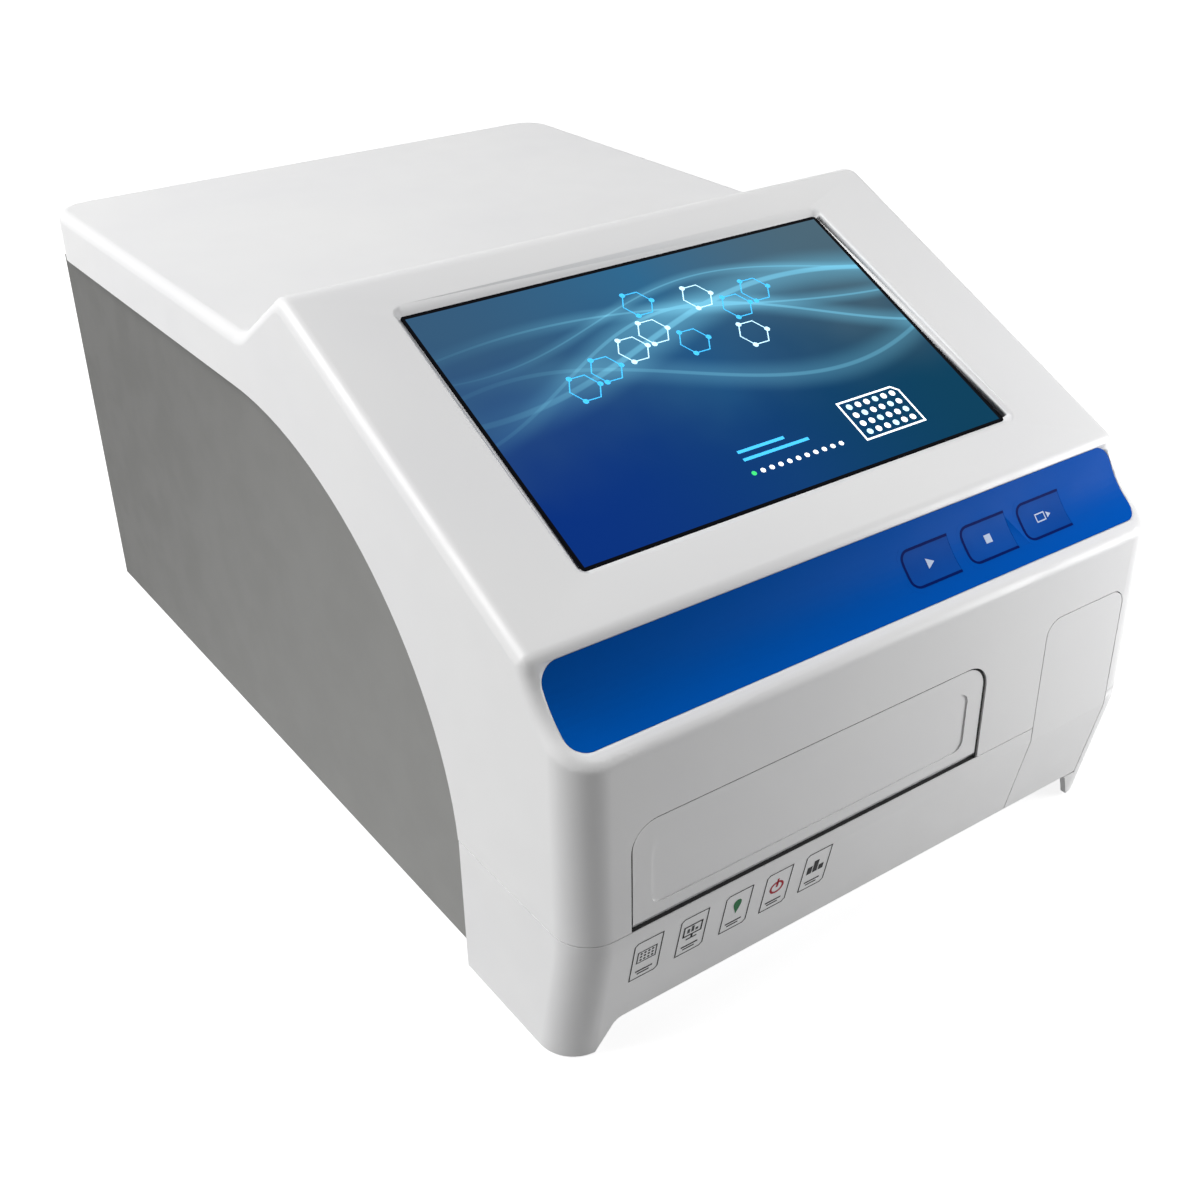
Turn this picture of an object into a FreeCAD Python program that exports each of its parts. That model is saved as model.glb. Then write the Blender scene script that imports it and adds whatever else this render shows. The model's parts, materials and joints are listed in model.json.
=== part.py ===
import FreeCAD, Part
import math
import os
import re
import Sketcher

# Benchtop microplate reader, in millimetres.
# X runs to the right seen from the front, Y runs to the back and Z up.
# The origin is at the middle of the footprint, on the bench.

V = FreeCAD.Vector

# Driving sizes, one sheet cell each
SIZES = {
    # casing form
    "case_width": 305,
    "case_depth": 481.6,
    "ridge_height": 259,
    "deck_drop": 29.5,
    "ridge_set_back": 198.7,
    "slope_angle": 25.3,
    "ramp_angle": 34,
    "cove_top_back": 28.8,
    "cove_foot_back": 3.3,
    "cove_foot_drop": 110.7,
    "cove_radius": 41,
    "lip_drop": 1.3,
    "case_wall": 3,
    "parting_height": 66.8,
    "parting_gap": 0.4,
    "front_corner_radius": 16,
    "back_corner_radius": 18,
    "rim_radius": 5.5,
    "ridge_radius": 10,
    "ramp_radius": 25,
    "cove_top_radius": 6,
    "form_skirt": 10,
    "margin": 1,
    "trim": 0.02,
    # sweep that parts the white flank from the grey side panel
    "flank_depth": 82.8,
    "sweep_depth": 168,
    "sweep_drop": 55,
    "sweep_foot_height": 57,
    "panel_overlap": 8,
    "panel_sheet": 2.5,
    "panel_bottom": 9.9,
    "rear_inset": 3.3,
    "rim_drop": 0.3,
    "rim_notch": 11,
    # front base
    "base_lift": 1,
    "chin_height": 60,
    "chin_set_back": 12.5,
    "arch_height": 17,
    "arch_corner": 5,
    "foot_width": 14.5,
    "foot_slope": 8.5,
    "sill_depth": 22,
    "base_post_x": 120,
    "base_post_back": 42,
    # door, hinge and its opening
    "door_offset": 37.9,
    "door_width": 181.4,
    "door_top": 115.3,
    "door_corner": 12,
    "door_gap": 1.2,
    "door_recess": 0.8,
    "door_sheet": 2.5,
    "door_hinge_inset": 3,
    "hinge_gap": 0.35,
    "emboss_side": 9.6,
    "emboss_foot": 74.5,
    "emboss_head": 103.5,
    "emboss_depth": 0.6,
    "emboss_corner": 5,
    "pin_radius": 1.2,
    "pin_reach": 5,
    "pin_clearance": 0.1,
    "ear_width": 4,
    "ear_depth": 6,
    "ear_height": 9,
    "spring_wire": 0.7,
    "spring_length": 4.5,
    "spring_play": 0.2,
    "pin_end": 0.5,
    # flush cover right of the door
    "cover_right": 16,
    "cover_width": 49,
    "cover_drop": 26,
    "cover_corner": 8,
    "cover_gap": 0.5,
    "cover_sheet": 2.5,
    # concave control panel and keys
    "control_margin": 5.5,
    "control_sheet": 2.2,
    "control_corner": 8,
    "control_span": 34,
    "control_fit": 0.15,
    "key_inset": 132.7,
    "key_pitch": 33,
    "key_width": 25.5,
    "key_height": 15,
    "key_drop": 1.2,
    "key_slit": 0.8,
    "key_hinge_gap": 0.15,
    "key_corner": 3.5,
    "keypad_depth": 11.5,
    "board_sheet": 1.6,
    "keypad_width": 112,
    "keypad_height": 24,
    "switch_side": 6,
    "switch_height": 2.5,
    "plunger_radius": 1.6,
    "plunger_height": 0.6,
    "boss_radius": 2.5,
    # display
    "screen_width": 219.4,
    "screen_height": 138,
    "screen_set_down": 92.5,
    "screen_corner": 2,
    "bevel_run": 3.6,
    "glass_margin": 5,
    "glass_sheet": 1.8,
    "gasket_sheet": 0.8,
    "gasket_width": 6,
    "lcd_width": 229,
    "lcd_height": 149,
    "lcd_depth": 5.2,
    "bracket_sheet": 1.2,
    "bracket_window": 18,
    "display_board_width": 120,
    "display_board_height": 70,
    "spacer_height": 5,
    "display_post_radius": 4,
    "spacer_inset": 6,
    "sink": 0.5,
    "chip_half": 12,
    "chip_sheet": 3,
    # chassis
    "tray_floor": 18,
    "tray_sheet": 2,
    "tray_front": 26,
    "tray_lip": 22,
    "feet_radius": 11,
    "feet_inset": 28,
    "feet_front": 18,
    "feet_taper": 1.5,
    # plate carrier, rods and nest for a 127.76 by 85.48 plate
    "plate_length": 127.76,
    "plate_depth": 85.48,
    "plate_play": 0.6,
    "carrier_bottom": 99,
    "carrier_sheet": 4,
    "carrier_rim": 11,
    "carrier_wall": 9,
    "carrier_front": 120.8,
    "carrier_rear_gap": 82.8,
    "nest_ledge": 4,
    "nest_floor": 1.2,
    "spring_sheet": 1.4,
    "tail_margin": 14,
    "rod_radius": 4,
    "rod_height": 87,
    "rod_spread": 66,
    "rod_front": 28,
    "rod_back": 35,
    "bush_radius": 7,
    "bush_length": 24,
    "bush_clearance": 0.1,
    "block_depth": 10,
    "block_width": 18,
    "bush_front_gap": 90,
    "bush_back_gap": 34,
    # belt drive
    "belt_offset": 84,
    "belt_width": 6,
    "belt_sheet": 1.2,
    "pulley_radius": 8,
    "pulley_width": 8,
    "pulley_teeth": 14,
    "tooth_depth": 0.7,
    "belt_clearance": 0.3,
    "flange_sheet": 1,
    "flange_rise": 1.5,
    "belt_axis_height": 84,
    "idler_back": 34,
    "drive_back": 50,
    "shaft_radius": 2.5,
    "motor_side": 42,
    "motor_length": 34,
    "clamp_length": 16,
    "clamp_inset": 2,
    "clamp_side": 1.5,
    "jaw_side": 3,
    "jaw_foot": 4,
    "arm_start": 8,
    "idler_half": 9,
    "idler_foot": 14,
    "idler_foot_half": 6,
    # optics
    "deck_top": 132,
    "deck_sheet": 3,
    "deck_front": 185,
    "deck_inset": 20.5,
    "deck_back": 22,
    "post_radius": 5,
    "post_inset": 10,
    "post_front": 10,
    "post_rear": 14,
    "post_mid_back": 90.6,
    "head_back": 146.8,
    "head_depth": 26,
    "head_bottom": 119,
    "head_height": 22,
    "head_left": 8,
    "head_right": 17,
    "leg_width": 8,
    "well_pitch": 9,
    "well_count": 12,
    "lens_radius": 2.6,
    "lens_stand": 1.5,
    "detector_half": 54,
    "detector_top": 95,
    "detector_height": 16,
    "detector_depth": 20,
    "detector_inset": 10,
    "mono_left": 20,
    "mono_width": 120,
    "mono_depth": 130,
    "mono_height": 46,
    "mono_wall": 3,
    "mono_back": 40,
    "grating_right": 34,
    "grating_behind": 40,
    "light_behind": 78,
    "fibre_right": 25,
    "fibre_up": 20,
    "fibre_play": 0.6,
    "lid_sheet": 2,
    "grating_table_radius": 17,
    "grating_side": 24,
    "grating_sheet": 6,
    "disc_sheet": 5,
    "tab_inset": 6,
    "tab_height": 2,
    "motor_drop": 18,
    "motor_gap": 1.2,
    "motor_trim": 3,
    "wheel_radius": 19,
    "wheel_sheet": 3,
    "wheel_ports": 6,
    "port_radius": 4,
    "port_edge": 2,
    "wheel_gap": 6,
    "wheel_lead": 5,
    "can_length": 21,
    "can_trim": 8,
    "stand_front": 22,
    "stand_rear": 9,
    "stand_half": 7,
    "lamp_width": 62,
    "lamp_depth": 76,
    "lamp_height": 50,
    "lamp_radius": 9,
    "lamp_away": 24,
    "lamp_wall": 3,
    "nose_wall": 4,
    "lamp_lead": 8,
    "lamp_length": 28,
    "base_lap": 2,
    "base_wall": 4,
    "fibre_radius": 3.5,
    "fibre_lead": 30,
    # electronics and rear panel
    "board_inset": 70.5,
    "board_width": 60,
    "board_length": 162,
    "board_rear_gap": 5,
    "board_stand": 6,
    "stud_inset": 5,
    "stud_rear": 30,
    "supply_width": 92,
    "supply_depth": 118,
    "supply_height": 40,
    "supply_side": 5,
    "supply_behind": 180.8,
    "supply_slots": 6,
    "slot_first": 14,
    "slot_pitch": 16,
    "slot_width": 6,
    "slot_inset": 10,
    "slot_depth": 3,
    "fan_side": 60,
    "fan_depth": 15,
    "fan_bore": 28,
    "fan_hub": 11,
    "fan_blades": 7,
    "fan_seat": 2,
    "fan_struts": 3,
    "strut_turn": 30,
    "strut_height": 3,
    "blade_sheet": 1.4,
    "blade_pitch": 50,
    "blade_stretch": 1.3,
    "fan_inset": 64.5,
    "fan_drop": 44,
    "fan_clearance": 0.8,
    "grille_slots": 9,
    "grille_pitch": 6,
    "grille_slot": 3.4,
    "inlet_inset": 66.5,
    "inlet_z": 60,
    "inlet_width": 27,
    "inlet_height": 20,
    "inlet_depth": 22,
    "inlet_flange": 3,
    "inlet_recess": 0.3,
    "socket_floor": 4,
    "socket_side": 1.5,
    "socket_end": 2,
    "socket_chamfer": 6,
    "pin_half": 1,
    "pin_half_tall": 2,
    "pin_spread": 7,
    "pin_shift": 2,
    "pin_back": 2,
    "flange_margin": 6,
    "switch_inset": 106.5,
    "switch_width": 13,
    "switch_tall": 19.4,
    "switch_rim": 1.5,
    "switch_body_depth": 14,
    "switch_room_depth": 11,
    "rocker_bearing": 4,
    "rocker_root": 8,
    "rocker_root_half": 4,
    "rocker_in": 1.5,
    "rocker_end_gap": 0.6,
    "rocker_tip_gap": 1.4,
    "rocker_dip": 0.6,
    "rocker_low": 1.4,
    "rocker_low_gap": 0.8,
    "rocker_hem": 1.2,
    "rocker_hem_rise": 0.1,
    "pivot_gap": 0.1,
    "rocker_gap": 0.5,
    "rocker_rise": 2.4,
    "ports_inset": 52.5,
    "usb_width": 13.2,
    "usb_height": 5.8,
    "lan_side": 13.5,
    "port_fit": 0.3,
    "port_spacing": 26,
    "usb_spare": 3,
    "port_depth": 16,
    "port_proud": 0.4,
    "usb_wall": 0.7,
    "usb_bore": 9,
    "usb_rib": 1.2,
    "usb_foot": 1,
    "usb_slack": 0.6,
    "lan_wall": 1,
    "lan_bore": 11,
    "lan_foot": 3,
    "lan_head": 1.5,
    "lan_key_half": 3,
    "lan_key_foot": 1.2,
    "screw_radius": 3,
    "screw_height": 1.8,
    "screw_low": 12,
    "screw_mid": 60,
    "screw_high": 14,
    "screw_inset": 9,
}

# Places worked out from the sizes
PLACES = {
    "half_width": "case_width / 2",
    "front": "0 - case_depth / 2",
    "back": "case_depth / 2",
    "ridge_y": "front + ridge_set_back",
    "deck_height": "ridge_height - deck_drop",
    "cove_top_y": "front + cove_top_back",
    "cove_top_z": "ridge_height - (ridge_y - cove_top_y) * tan(slope_angle)",
    "cove_foot_y": "front + cove_foot_back",
    "cove_foot_height": "ridge_height - cove_foot_drop",
    "lip_z": "cove_foot_height - lip_drop",
    "ramp_foot_y": "ridge_y + (ridge_height - deck_height) / tan(ramp_angle)",
    "shell_bottom": "parting_height + parting_gap",
    # cove: chord, tilt and centre
    "cove_rise": "cove_top_z - cove_foot_height",
    "cove_run": "cove_top_y - cove_foot_y",
    "cove_chord": "hypot(cove_rise; cove_run)",
    "cove_tilt": "atan2(cove_rise; cove_run) / 1 deg",
    "cove_back_off": "sqrt(cove_radius ^ 2 - cove_chord ^ 2 / 4)",
    "cove_sag": "cove_radius - cove_back_off",
    "cove_mid_y": "(cove_top_y + cove_foot_y) / 2",
    "cove_mid_z": "(cove_top_z + cove_foot_height) / 2",
    "cove_axis_y": "cove_mid_y - cove_rise / cove_chord * cove_back_off",
    "cove_axis_z": "cove_mid_z + cove_run / cove_chord * cove_back_off",
    # display centre on the slope
    "screen_y": "ridge_y - screen_set_down * cos(slope_angle)",
    "screen_z": "ridge_height - screen_set_down * sin(slope_angle)",
    "display_stack": "case_wall + glass_sheet + gasket_sheet + lcd_depth",
    "key_first": "half_width - key_inset",
    "keypad_mid": "key_first + key_pitch + key_width / 2",
    "control_low": "0 - control_span / 2",
    "control_high": "control_span / 2",
    # sweep
    "flank_y": "front + flank_depth",
    "sweep_y": "flank_y + sweep_depth",
    "sweep_top": "ridge_height - sweep_drop",
    "sweep_rise": "sweep_top - sweep_foot_height",
    "panel_x": "half_width - case_wall",
    "rear_y": "back - rear_inset",
    # door
    "door_mid": "0 - door_offset",
    "door_x_low": "door_mid - door_width / 2",
    "door_x_high": "door_mid + door_width / 2",
    "door_face": "front + door_recess",
    "hinge_y": "door_face + door_hinge_inset",
    "hinge_z": "parting_height + hinge_gap + door_hinge_inset",
    # cover
    "cover_x_high": "half_width - cover_right",
    "cover_x_low": "cover_x_high - cover_width",
    "cover_top": "lip_z - cover_drop",
    # chin
    "chin_foot_y": "front + chin_set_back",
    "chin_run": "chin_set_back / (chin_height - base_lift)",
    "tray_y": "front + tray_front",
    # carrier and drive
    "carrier_y": "front + carrier_front",
    "carrier_back": "back - carrier_rear_gap",
    "carrier_half": "plate_length / 2 + carrier_wall",
    "carrier_top": "carrier_bottom + carrier_rim",
    "nest_y": "carrier_y + carrier_wall",
    "nest_back": "nest_y + plate_depth + plate_play",
    "tail_y": "nest_back + carrier_wall",
    "rod_y": "front + rod_front",
    "rod_end": "back - rod_back",
    "belt_x": "door_mid + belt_offset",
    "idler_y": "front + idler_back",
    "drive_y": "back - drive_back",
    "floor_top": "tray_floor + tray_sheet",
    # optics
    "deck_bottom": "deck_top - deck_sheet",
    "deck_side": "half_width - deck_inset",
    "deck_y": "front + deck_front",
    "deck_end": "back - deck_back",
    "head_y": "front + head_back",
    "mono_x": "mono_left - half_width",
    "mono_y": "back - mono_back - mono_depth",
    "grating_x": "mono_x + grating_right",
    "grating_y": "mono_y + grating_behind",
    "light_y": "mono_y + light_behind",
    "light_z": "deck_top + mono_height / 2",
    "wheel_ring": "wheel_radius - port_radius - port_edge",
    "fibre_x": "mono_x + fibre_right",
    "fibre_high": "deck_top + fibre_up",
    "fibre_low": "deck_top + fibre_radius + fibre_play",
    # electronics
    "board_left": "half_width - board_inset",
    "fan_x": "half_width - fan_inset",
    "fan_z": "sweep_top - fan_drop",
    "inlet_x": "half_width - inlet_inset",
    "switch_x": "half_width - switch_inset",
    "ports_x": "half_width - ports_inset",
}

doc = FreeCAD.newDocument("microplate_reader")
sheet = doc.addObject("Spreadsheet::Sheet", "sizes")
for row, (word, value) in enumerate(SIZES.items(), start=1):
    sheet.set(f"A{row}", word)
    sheet.set(f"B{row}", str(value))
    sheet.setAlias(f"B{row}", word)
doc.recompute()


def linked(formula):
    """A formula with each size or place written as a link to its owner."""
    def owner(match):
        word = match.group(0)
        if word in SIZES:
            return "sizes." + word
        if word in PLACES:
            return "places." + word
        return word
    return re.sub(r"[a-z][a-z0-9_]*", owner, str(formula))


places = doc.addObject("App::VarSet", "places")
for word, formula in PLACES.items():
    places.addProperty("App::PropertyFloat", word, "places")
    places.setExpression(word, linked(formula))
doc.recompute()

# A cell for reading one formula as a number
reading = doc.addObject("App::VarSet", "reading")
reading.addProperty("App::PropertyFloat", "number", "reading")


def at(formula):
    """The number that a formula gives now."""
    reading.setExpression("number", linked(formula))
    reading.recompute()
    return reading.number


def bind(thing, **formulas):
    for name, formula in formulas.items():
        thing.setExpression(name, linked(formula))


def put(thing, x, y, z):
    thing.setExpression("Placement.Base.x", linked(x))
    thing.setExpression("Placement.Base.y", linked(y))
    thing.setExpression("Placement.Base.z", linked(z))


def block(name, x, y, z):
    """A box between pairs of planes, each pair a low and a high formula."""
    box = doc.addObject("Part::Box", name)
    bind(box, Length=f"({x[1]}) - ({x[0]})", Width=f"({y[1]}) - ({y[0]})", Height=f"({z[1]}) - ({z[0]})")
    put(box, x[0], y[0], z[0])
    return box


TURNS = {
    "X": FreeCAD.Rotation(V(0, 1, 0), 90),
    "Y": FreeCAD.Rotation(V(1, 0, 0), -90),
    "Z": FreeCAD.Rotation(),
}


def rod(name, axis, centre, ends, radius):
    """A cylinder along an axis; centre gives the other two coordinates."""
    bar = doc.addObject("Part::Cylinder", name)
    bar.Placement.Rotation = TURNS[axis]
    bind(bar, Radius=radius, Height=f"({ends[1]}) - ({ends[0]})")
    where = list(centre)
    where.insert("XYZ".index(axis), ends[0])
    put(bar, *where)
    return bar


def join(name, *parts):
    whole = doc.addObject("Part::MultiFuse", name)
    whole.Shapes = list(parts)
    whole.Refine = True
    return whole


def cut(name, base, *tools):
    tool = tools[0] if len(tools) == 1 else join(name + "_tools", *tools)
    rest = doc.addObject("Part::Cut", name)
    rest.Base = base
    rest.Tool = tool
    rest.Refine = True
    return rest


def shared(name, *parts):
    both = doc.addObject("Part::MultiCommon", name)
    both.Shapes = list(parts)
    return both


def group(name, parts):
    whole = doc.addObject("Part::Compound", name)
    whole.Links = list(parts)
    return whole


def rounded(name, base, radius_of):
    """Round the edges for which radius_of gives a radius."""
    doc.recompute()
    whole = doc.addObject("Part::Fillet", name)
    whole.Base = base
    chosen = []
    for number, edge in enumerate(base.Shape.Edges, start=1):
        radius = radius_of(edge)
        if radius:
            chosen.append((number, radius, radius))
    whole.Edges = chosen
    return whole


PLANE_TURNS = {
    "XY": FreeCAD.Rotation(),
    "XZ": FreeCAD.Rotation(V(1, 0, 0), 90),
    "YZ": FreeCAD.Rotation(V(1, 1, 1), 120),
}


def sketch(name, plane, outline, away="0"):
    """A closed sketch. A corner is (u, v), (u, v, round) or (u, v, 0, bend).

    A round is the corner's radius. A bend is the radius of an arc that runs
    from the corner before, hollow to the left of the way round.
    """
    drawing = doc.addObject("Sketcher::SketchObject", name)
    drawing.Placement.Rotation = PLANE_TURNS[plane]
    if plane == "XZ":
        put(drawing, "0", away, "0")
    elif plane == "YZ":
        put(drawing, away, "0", "0")
    else:
        put(drawing, "0", "0", away)
    count = len(outline)
    points = [V(at(corner[0]), at(corner[1]), 0) for corner in outline]
    rounds = [corner[2] if len(corner) > 2 and corner[2] != 0 else None for corner in outline]
    bends = [corner[3] if len(corner) > 3 else None for corner in outline]

    def place(element, end, corner):
        for kind, formula in (("DistanceX", corner[0]), ("DistanceY", corner[1])):
            number = drawing.addConstraint(Sketcher.Constraint(kind, -1, 1, element, end, at(formula)))
            drawing.setExpression(f"Constraints[{number}]", linked(formula))

    def size_radius(element, formula):
        number = drawing.addConstraint(Sketcher.Constraint("Radius", element, at(formula)))
        drawing.setExpression(f"Constraints[{number}]", linked(formula))

    trims = []
    for index in range(count):
        before = (points[index - 1] - points[index]).normalize()
        after = (points[(index + 1) % count] - points[index]).normalize()
        if rounds[index] is None:
            trims.append((points[index], points[index]))
        else:
            half = before.getAngle(after) / 2
            reach = at(rounds[index]) / math.tan(half)
            trims.append((points[index] + before * reach, points[index] + after * reach))
    sides = []
    for index in range(count):
        start = trims[index][1]
        end = trims[(index + 1) % count][0]
        bend = bends[(index + 1) % count]
        if bend is None:
            sides.append((drawing.addGeometry(Part.LineSegment(start, end), False), 1, 2))
        else:
            radius = at(bend)
            along = (end - start)
            chord = along.Length
            along.normalize()
            left = V(-along.y, along.x, 0)
            centre = (start + end) / 2 + left * math.sqrt(radius ** 2 - chord ** 2 / 4)
            first = math.atan2(start.y - centre.y, start.x - centre.x)
            last = math.atan2(end.y - centre.y, end.x - centre.x)
            arc = Part.ArcOfCircle(Part.Circle(centre, V(0, 0, 1), radius), first, last)
            sides.append((drawing.addGeometry(arc, False), 1, 2))
            size_radius(sides[-1][0], bend)
    for index in range(count):
        element_in, _, end_in = sides[index - 1]
        element_out, end_out, _ = sides[index]
        if rounds[index] is None:
            drawing.addConstraint(Sketcher.Constraint("Coincident", element_in, end_in, element_out,
                                                      end_out))
            place(element_out, end_out, outline[index])
            continue
        first, last = trims[index]
        radius = at(rounds[index])
        before = (points[index - 1] - points[index]).normalize()
        after = (points[(index + 1) % count] - points[index]).normalize()
        towards = (before + after).normalize()
        centre = points[index] + towards * math.hypot(radius, (first - points[index]).Length)
        middle = centre - towards * radius
        arc = Part.Arc(first, middle, last)
        curve = drawing.addGeometry(arc, False)
        turned = drawing.Geometry[curve].StartPoint.distanceToPoint(first) > 1e-6
        low, high = (2, 1) if turned else (1, 2)
        drawing.addConstraint(Sketcher.Constraint("Tangent", element_in, end_in, curve, low))
        drawing.addConstraint(Sketcher.Constraint("Tangent", curve, high, element_out, end_out))
        size_radius(curve, rounds[index])
        mark = drawing.addGeometry(Part.Point(points[index]), True)
        place(mark, 1, outline[index])
        drawing.addConstraint(Sketcher.Constraint("PointOnObject", mark, 1, element_in))
        drawing.addConstraint(Sketcher.Constraint("PointOnObject", mark, 1, element_out))
    return drawing


def drawn_out(name, base, length, both_ways=False):
    """A sketch or face drawn out square to its plane."""
    solid = doc.addObject("Part::Extrusion", name)
    solid.Base = base
    solid.DirMode = "Normal"
    solid.Solid = True
    solid.FaceMakerClass = "Part::FaceMakerBullseye"
    solid.Symmetric = both_ways
    bind(solid, LengthFwd=length)
    return solid


def prism(name, plane, ends, outline):
    """A sketch drawn out between two planes."""
    if plane == "XZ":
        flat = sketch(name + "_sketch", plane, outline, ends[1])
    else:
        flat = sketch(name + "_sketch", plane, outline, ends[0])
    return drawn_out(name, flat, f"({ends[1]}) - ({ends[0]})")


def rounded_box(name, plane, u, v, ends, radius):
    """A prism with four round corners, between u and v pairs in its plane."""
    corners = [(u[0], v[0], radius), (u[1], v[0], radius), (u[1], v[1], radius), (u[0], v[1], radius)]
    return prism(name, plane, ends, corners)


KEPT = []


def keep(node, thing):
    """Name a finished piece; its file takes this name."""
    thing.Label = node
    KEPT.append(thing)
    return thing


# Planes that lean: each gives y, z and tilt of its middle
SLOPE = ("screen_y", "screen_z", "slope_angle")
COVE = ("cove_mid_y", "cove_mid_z", "cove_tilt")


def lean(thing, plane, up, out):
    """Turn a thing into a leaning plane, moved up along it and out from it."""
    y, z, tilt = plane
    thing.Placement.Rotation = FreeCAD.Rotation(V(1, 0, 0), 1)
    bind(thing, **{"Placement.Rotation.Angle": tilt})
    put_y = f"{y} + ({up}) * cos({tilt}) - ({out}) * sin({tilt})"
    put_z = f"{z} + ({up}) * sin({tilt}) + ({out}) * cos({tilt})"
    thing.setExpression("Placement.Base.y", linked(put_y))
    thing.setExpression("Placement.Base.z", linked(put_z))


def leaning_block(name, plane, x, up, out):
    box = doc.addObject("Part::Box", name)
    bind(box, Length=f"({x[1]}) - ({x[0]})", Width=f"({up[1]}) - ({up[0]})",
         Height=f"({out[1]}) - ({out[0]})")
    lean(box, plane, up[0], out[0])
    box.setExpression("Placement.Base.x", linked(x[0]))
    return box


def leaning_sheet(name, plane, x, up, out, radius):
    """A plate in a leaning plane with four round corners."""
    corners = [(x[0], up[0], radius), (x[1], up[0], radius), (x[1], up[1], radius), (x[0], up[1], radius)]
    flat = sketch(name + "_sketch", "XY", corners)
    lean(flat, plane, "0", out[0])
    return drawn_out(name, flat, f"({out[1]}) - ({out[0]})")


def leaning_rod(name, plane, x, up, out, radius):
    bar = doc.addObject("Part::Cylinder", name)
    bind(bar, Radius=radius, Height=f"({out[1]}) - ({out[0]})")
    lean(bar, plane, up, out[0])
    bar.setExpression("Placement.Base.x", linked(x))
    return bar


def around(low, high=None):
    """A pair of formulas the same way either side of zero."""
    return (f"0 - ({low})", low if high is None else high)


def upright(edge):
    ends = [vertex.Point for vertex in edge.Vertexes]
    return len(ends) == 2 and math.hypot(ends[0].x - ends[1].x, ends[0].y - ends[1].y) < 1e-6


# Casing form: side outline, rounded in plan and along its whole top edge
case_outline = sketch("case_outline", "YZ", [
    ("front", "parting_height - form_skirt"),
    ("front", "lip_z"),
    ("cove_foot_y", "cove_foot_height"),
    ("cove_top_y", "cove_top_z", 0, "cove_radius"),
    ("ridge_y", "ridge_height"),
    ("ramp_foot_y", "deck_height"),
    ("back", "deck_height"),
    ("back", "parting_height - form_skirt"),
])
case_inset = doc.addObject("Part::Offset2D", "case_inset")
case_inset.Source = case_outline
case_inset.Join = "Intersection"
bind(case_inset, Value="0 - case_wall")


def casing_form(name, outline, inset):
    """The casing's outer or inner form, inset by a wall."""
    half = at("half_width") - inset
    ahead = at("front") + inset
    behind = at("back") - inset
    front_round = at("front_corner_radius") - inset
    back_round = at("back_corner_radius") - inset
    form = drawn_out(name + "_block", outline, f"case_width - 2 * {inset}", True)
    turns = [
        (at("ridge_y"), at("ridge_height"), at("ridge_radius") - inset),
        (at("ramp_foot_y"), at("deck_height"), at("ramp_radius") + inset),
        (at("cove_top_y"), at("cove_top_z"), at("cove_top_radius") - inset),
    ]

    def turn_radius(edge):
        ends = [vertex.Point for vertex in edge.Vertexes]
        if len(ends) < 2 or abs(ends[0].x - ends[1].x) < half:
            return None
        for y, z, radius in turns:
            if math.hypot(ends[0].y - y, ends[0].z - z) < 2 * inset + 1:
                return radius
        return None

    def corner_radius(edge):
        if not upright(edge):
            return None
        return front_round if edge.Vertexes[0].Y < 0 else back_round

    def on_side(point):
        if abs(abs(point.x) - half) < 0.01 or abs(point.y - ahead) < 0.01 or abs(point.y - behind) < 0.01:
            return True
        for centre, radius, sign in ((ahead + front_round, front_round, -1),
                                     (behind - back_round, back_round, 1)):
            across = abs(point.x) - half + radius
            if sign * (point.y - centre) > 0 and abs(math.hypot(across, point.y - centre) - radius) < 0.01:
                return True
        return False

    def rim_radius(edge):
        spread = edge.discretize(7)
        low = max(point.z for point in spread) < at("parting_height")
        if low or upright(edge) or not all(on_side(point) for point in spread):
            return None
        return at("rim_radius") - inset

    form = rounded(name + "_turns", form, turn_radius)
    form = rounded(name + "_corners", form, corner_radius)
    return rounded(name + "_rim", form, rim_radius)


case_outer = casing_form("case_outer", case_outline, 0)
case_inner = casing_form("case_inner", case_inset, at("case_wall"))


# Sweep that leaves the flank white behind the front and clears the side panel
def sweep_region(name, grow, x, foot, top_limit, rear):
    """Everything behind and under the sweep curve, grown outwards."""
    across = at(f"sweep_depth + {grow}")
    upward = at(f"sweep_rise + {grow}")
    middle = V(at(x[0]), at("sweep_y"), at("sweep_foot_height"))
    long_way = V(0, across, 0) if across >= upward else V(0, 0, upward)
    short_way = V(0, 0, upward) if across >= upward else V(0, across, 0)
    oval = Part.Ellipse(middle + long_way, middle + short_way, middle)
    face = Part.Face(Part.Wire(oval.toShape()))
    bow = doc.addObject("Part::Feature", name + "_bow")
    bow.Shape = face.extrude(V(at(x[1]) - at(x[0]), 0, 0))
    low = block(name + "_low", x, (f"flank_y - {grow}", rear), (foot, "sweep_foot_height"))
    high = block(name + "_high", x, ("sweep_y", rear), (foot, f"sweep_top + {grow}"))
    limit = block(name + "_limit", x, (f"flank_y - {grow}", rear), (foot, top_limit))
    return shared(name, join(name + "_union", bow, low, high), limit)


# Upper shell
everywhere = around("half_width + margin")
flank_cut = sweep_region("flank_cut", "0", everywhere, "0", "sweep_top", "back + margin")
under_cut = block("under_cut", everywhere, ("front - margin", "back + margin"), ("0", "shell_bottom"))
door_cut = prism("door_cut", "XZ", ("front - margin", "front + case_wall + margin"), [
    ("door_x_low", "parting_height - 5 * margin"),
    ("door_x_high", "parting_height - 5 * margin"),
    ("door_x_high", "door_top", "door_corner"),
    ("door_x_low", "door_top", "door_corner"),
])
cover_cut = prism("cover_cut", "XZ", ("front - margin", "chin_foot_y + case_wall + margin"), [
    ("cover_x_low", "arch_height - margin"),
    ("cover_x_high", "arch_height - margin"),
    ("cover_x_high", "cover_top", "cover_corner"),
    ("cover_x_low", "cover_top", "cover_corner"),
])


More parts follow.
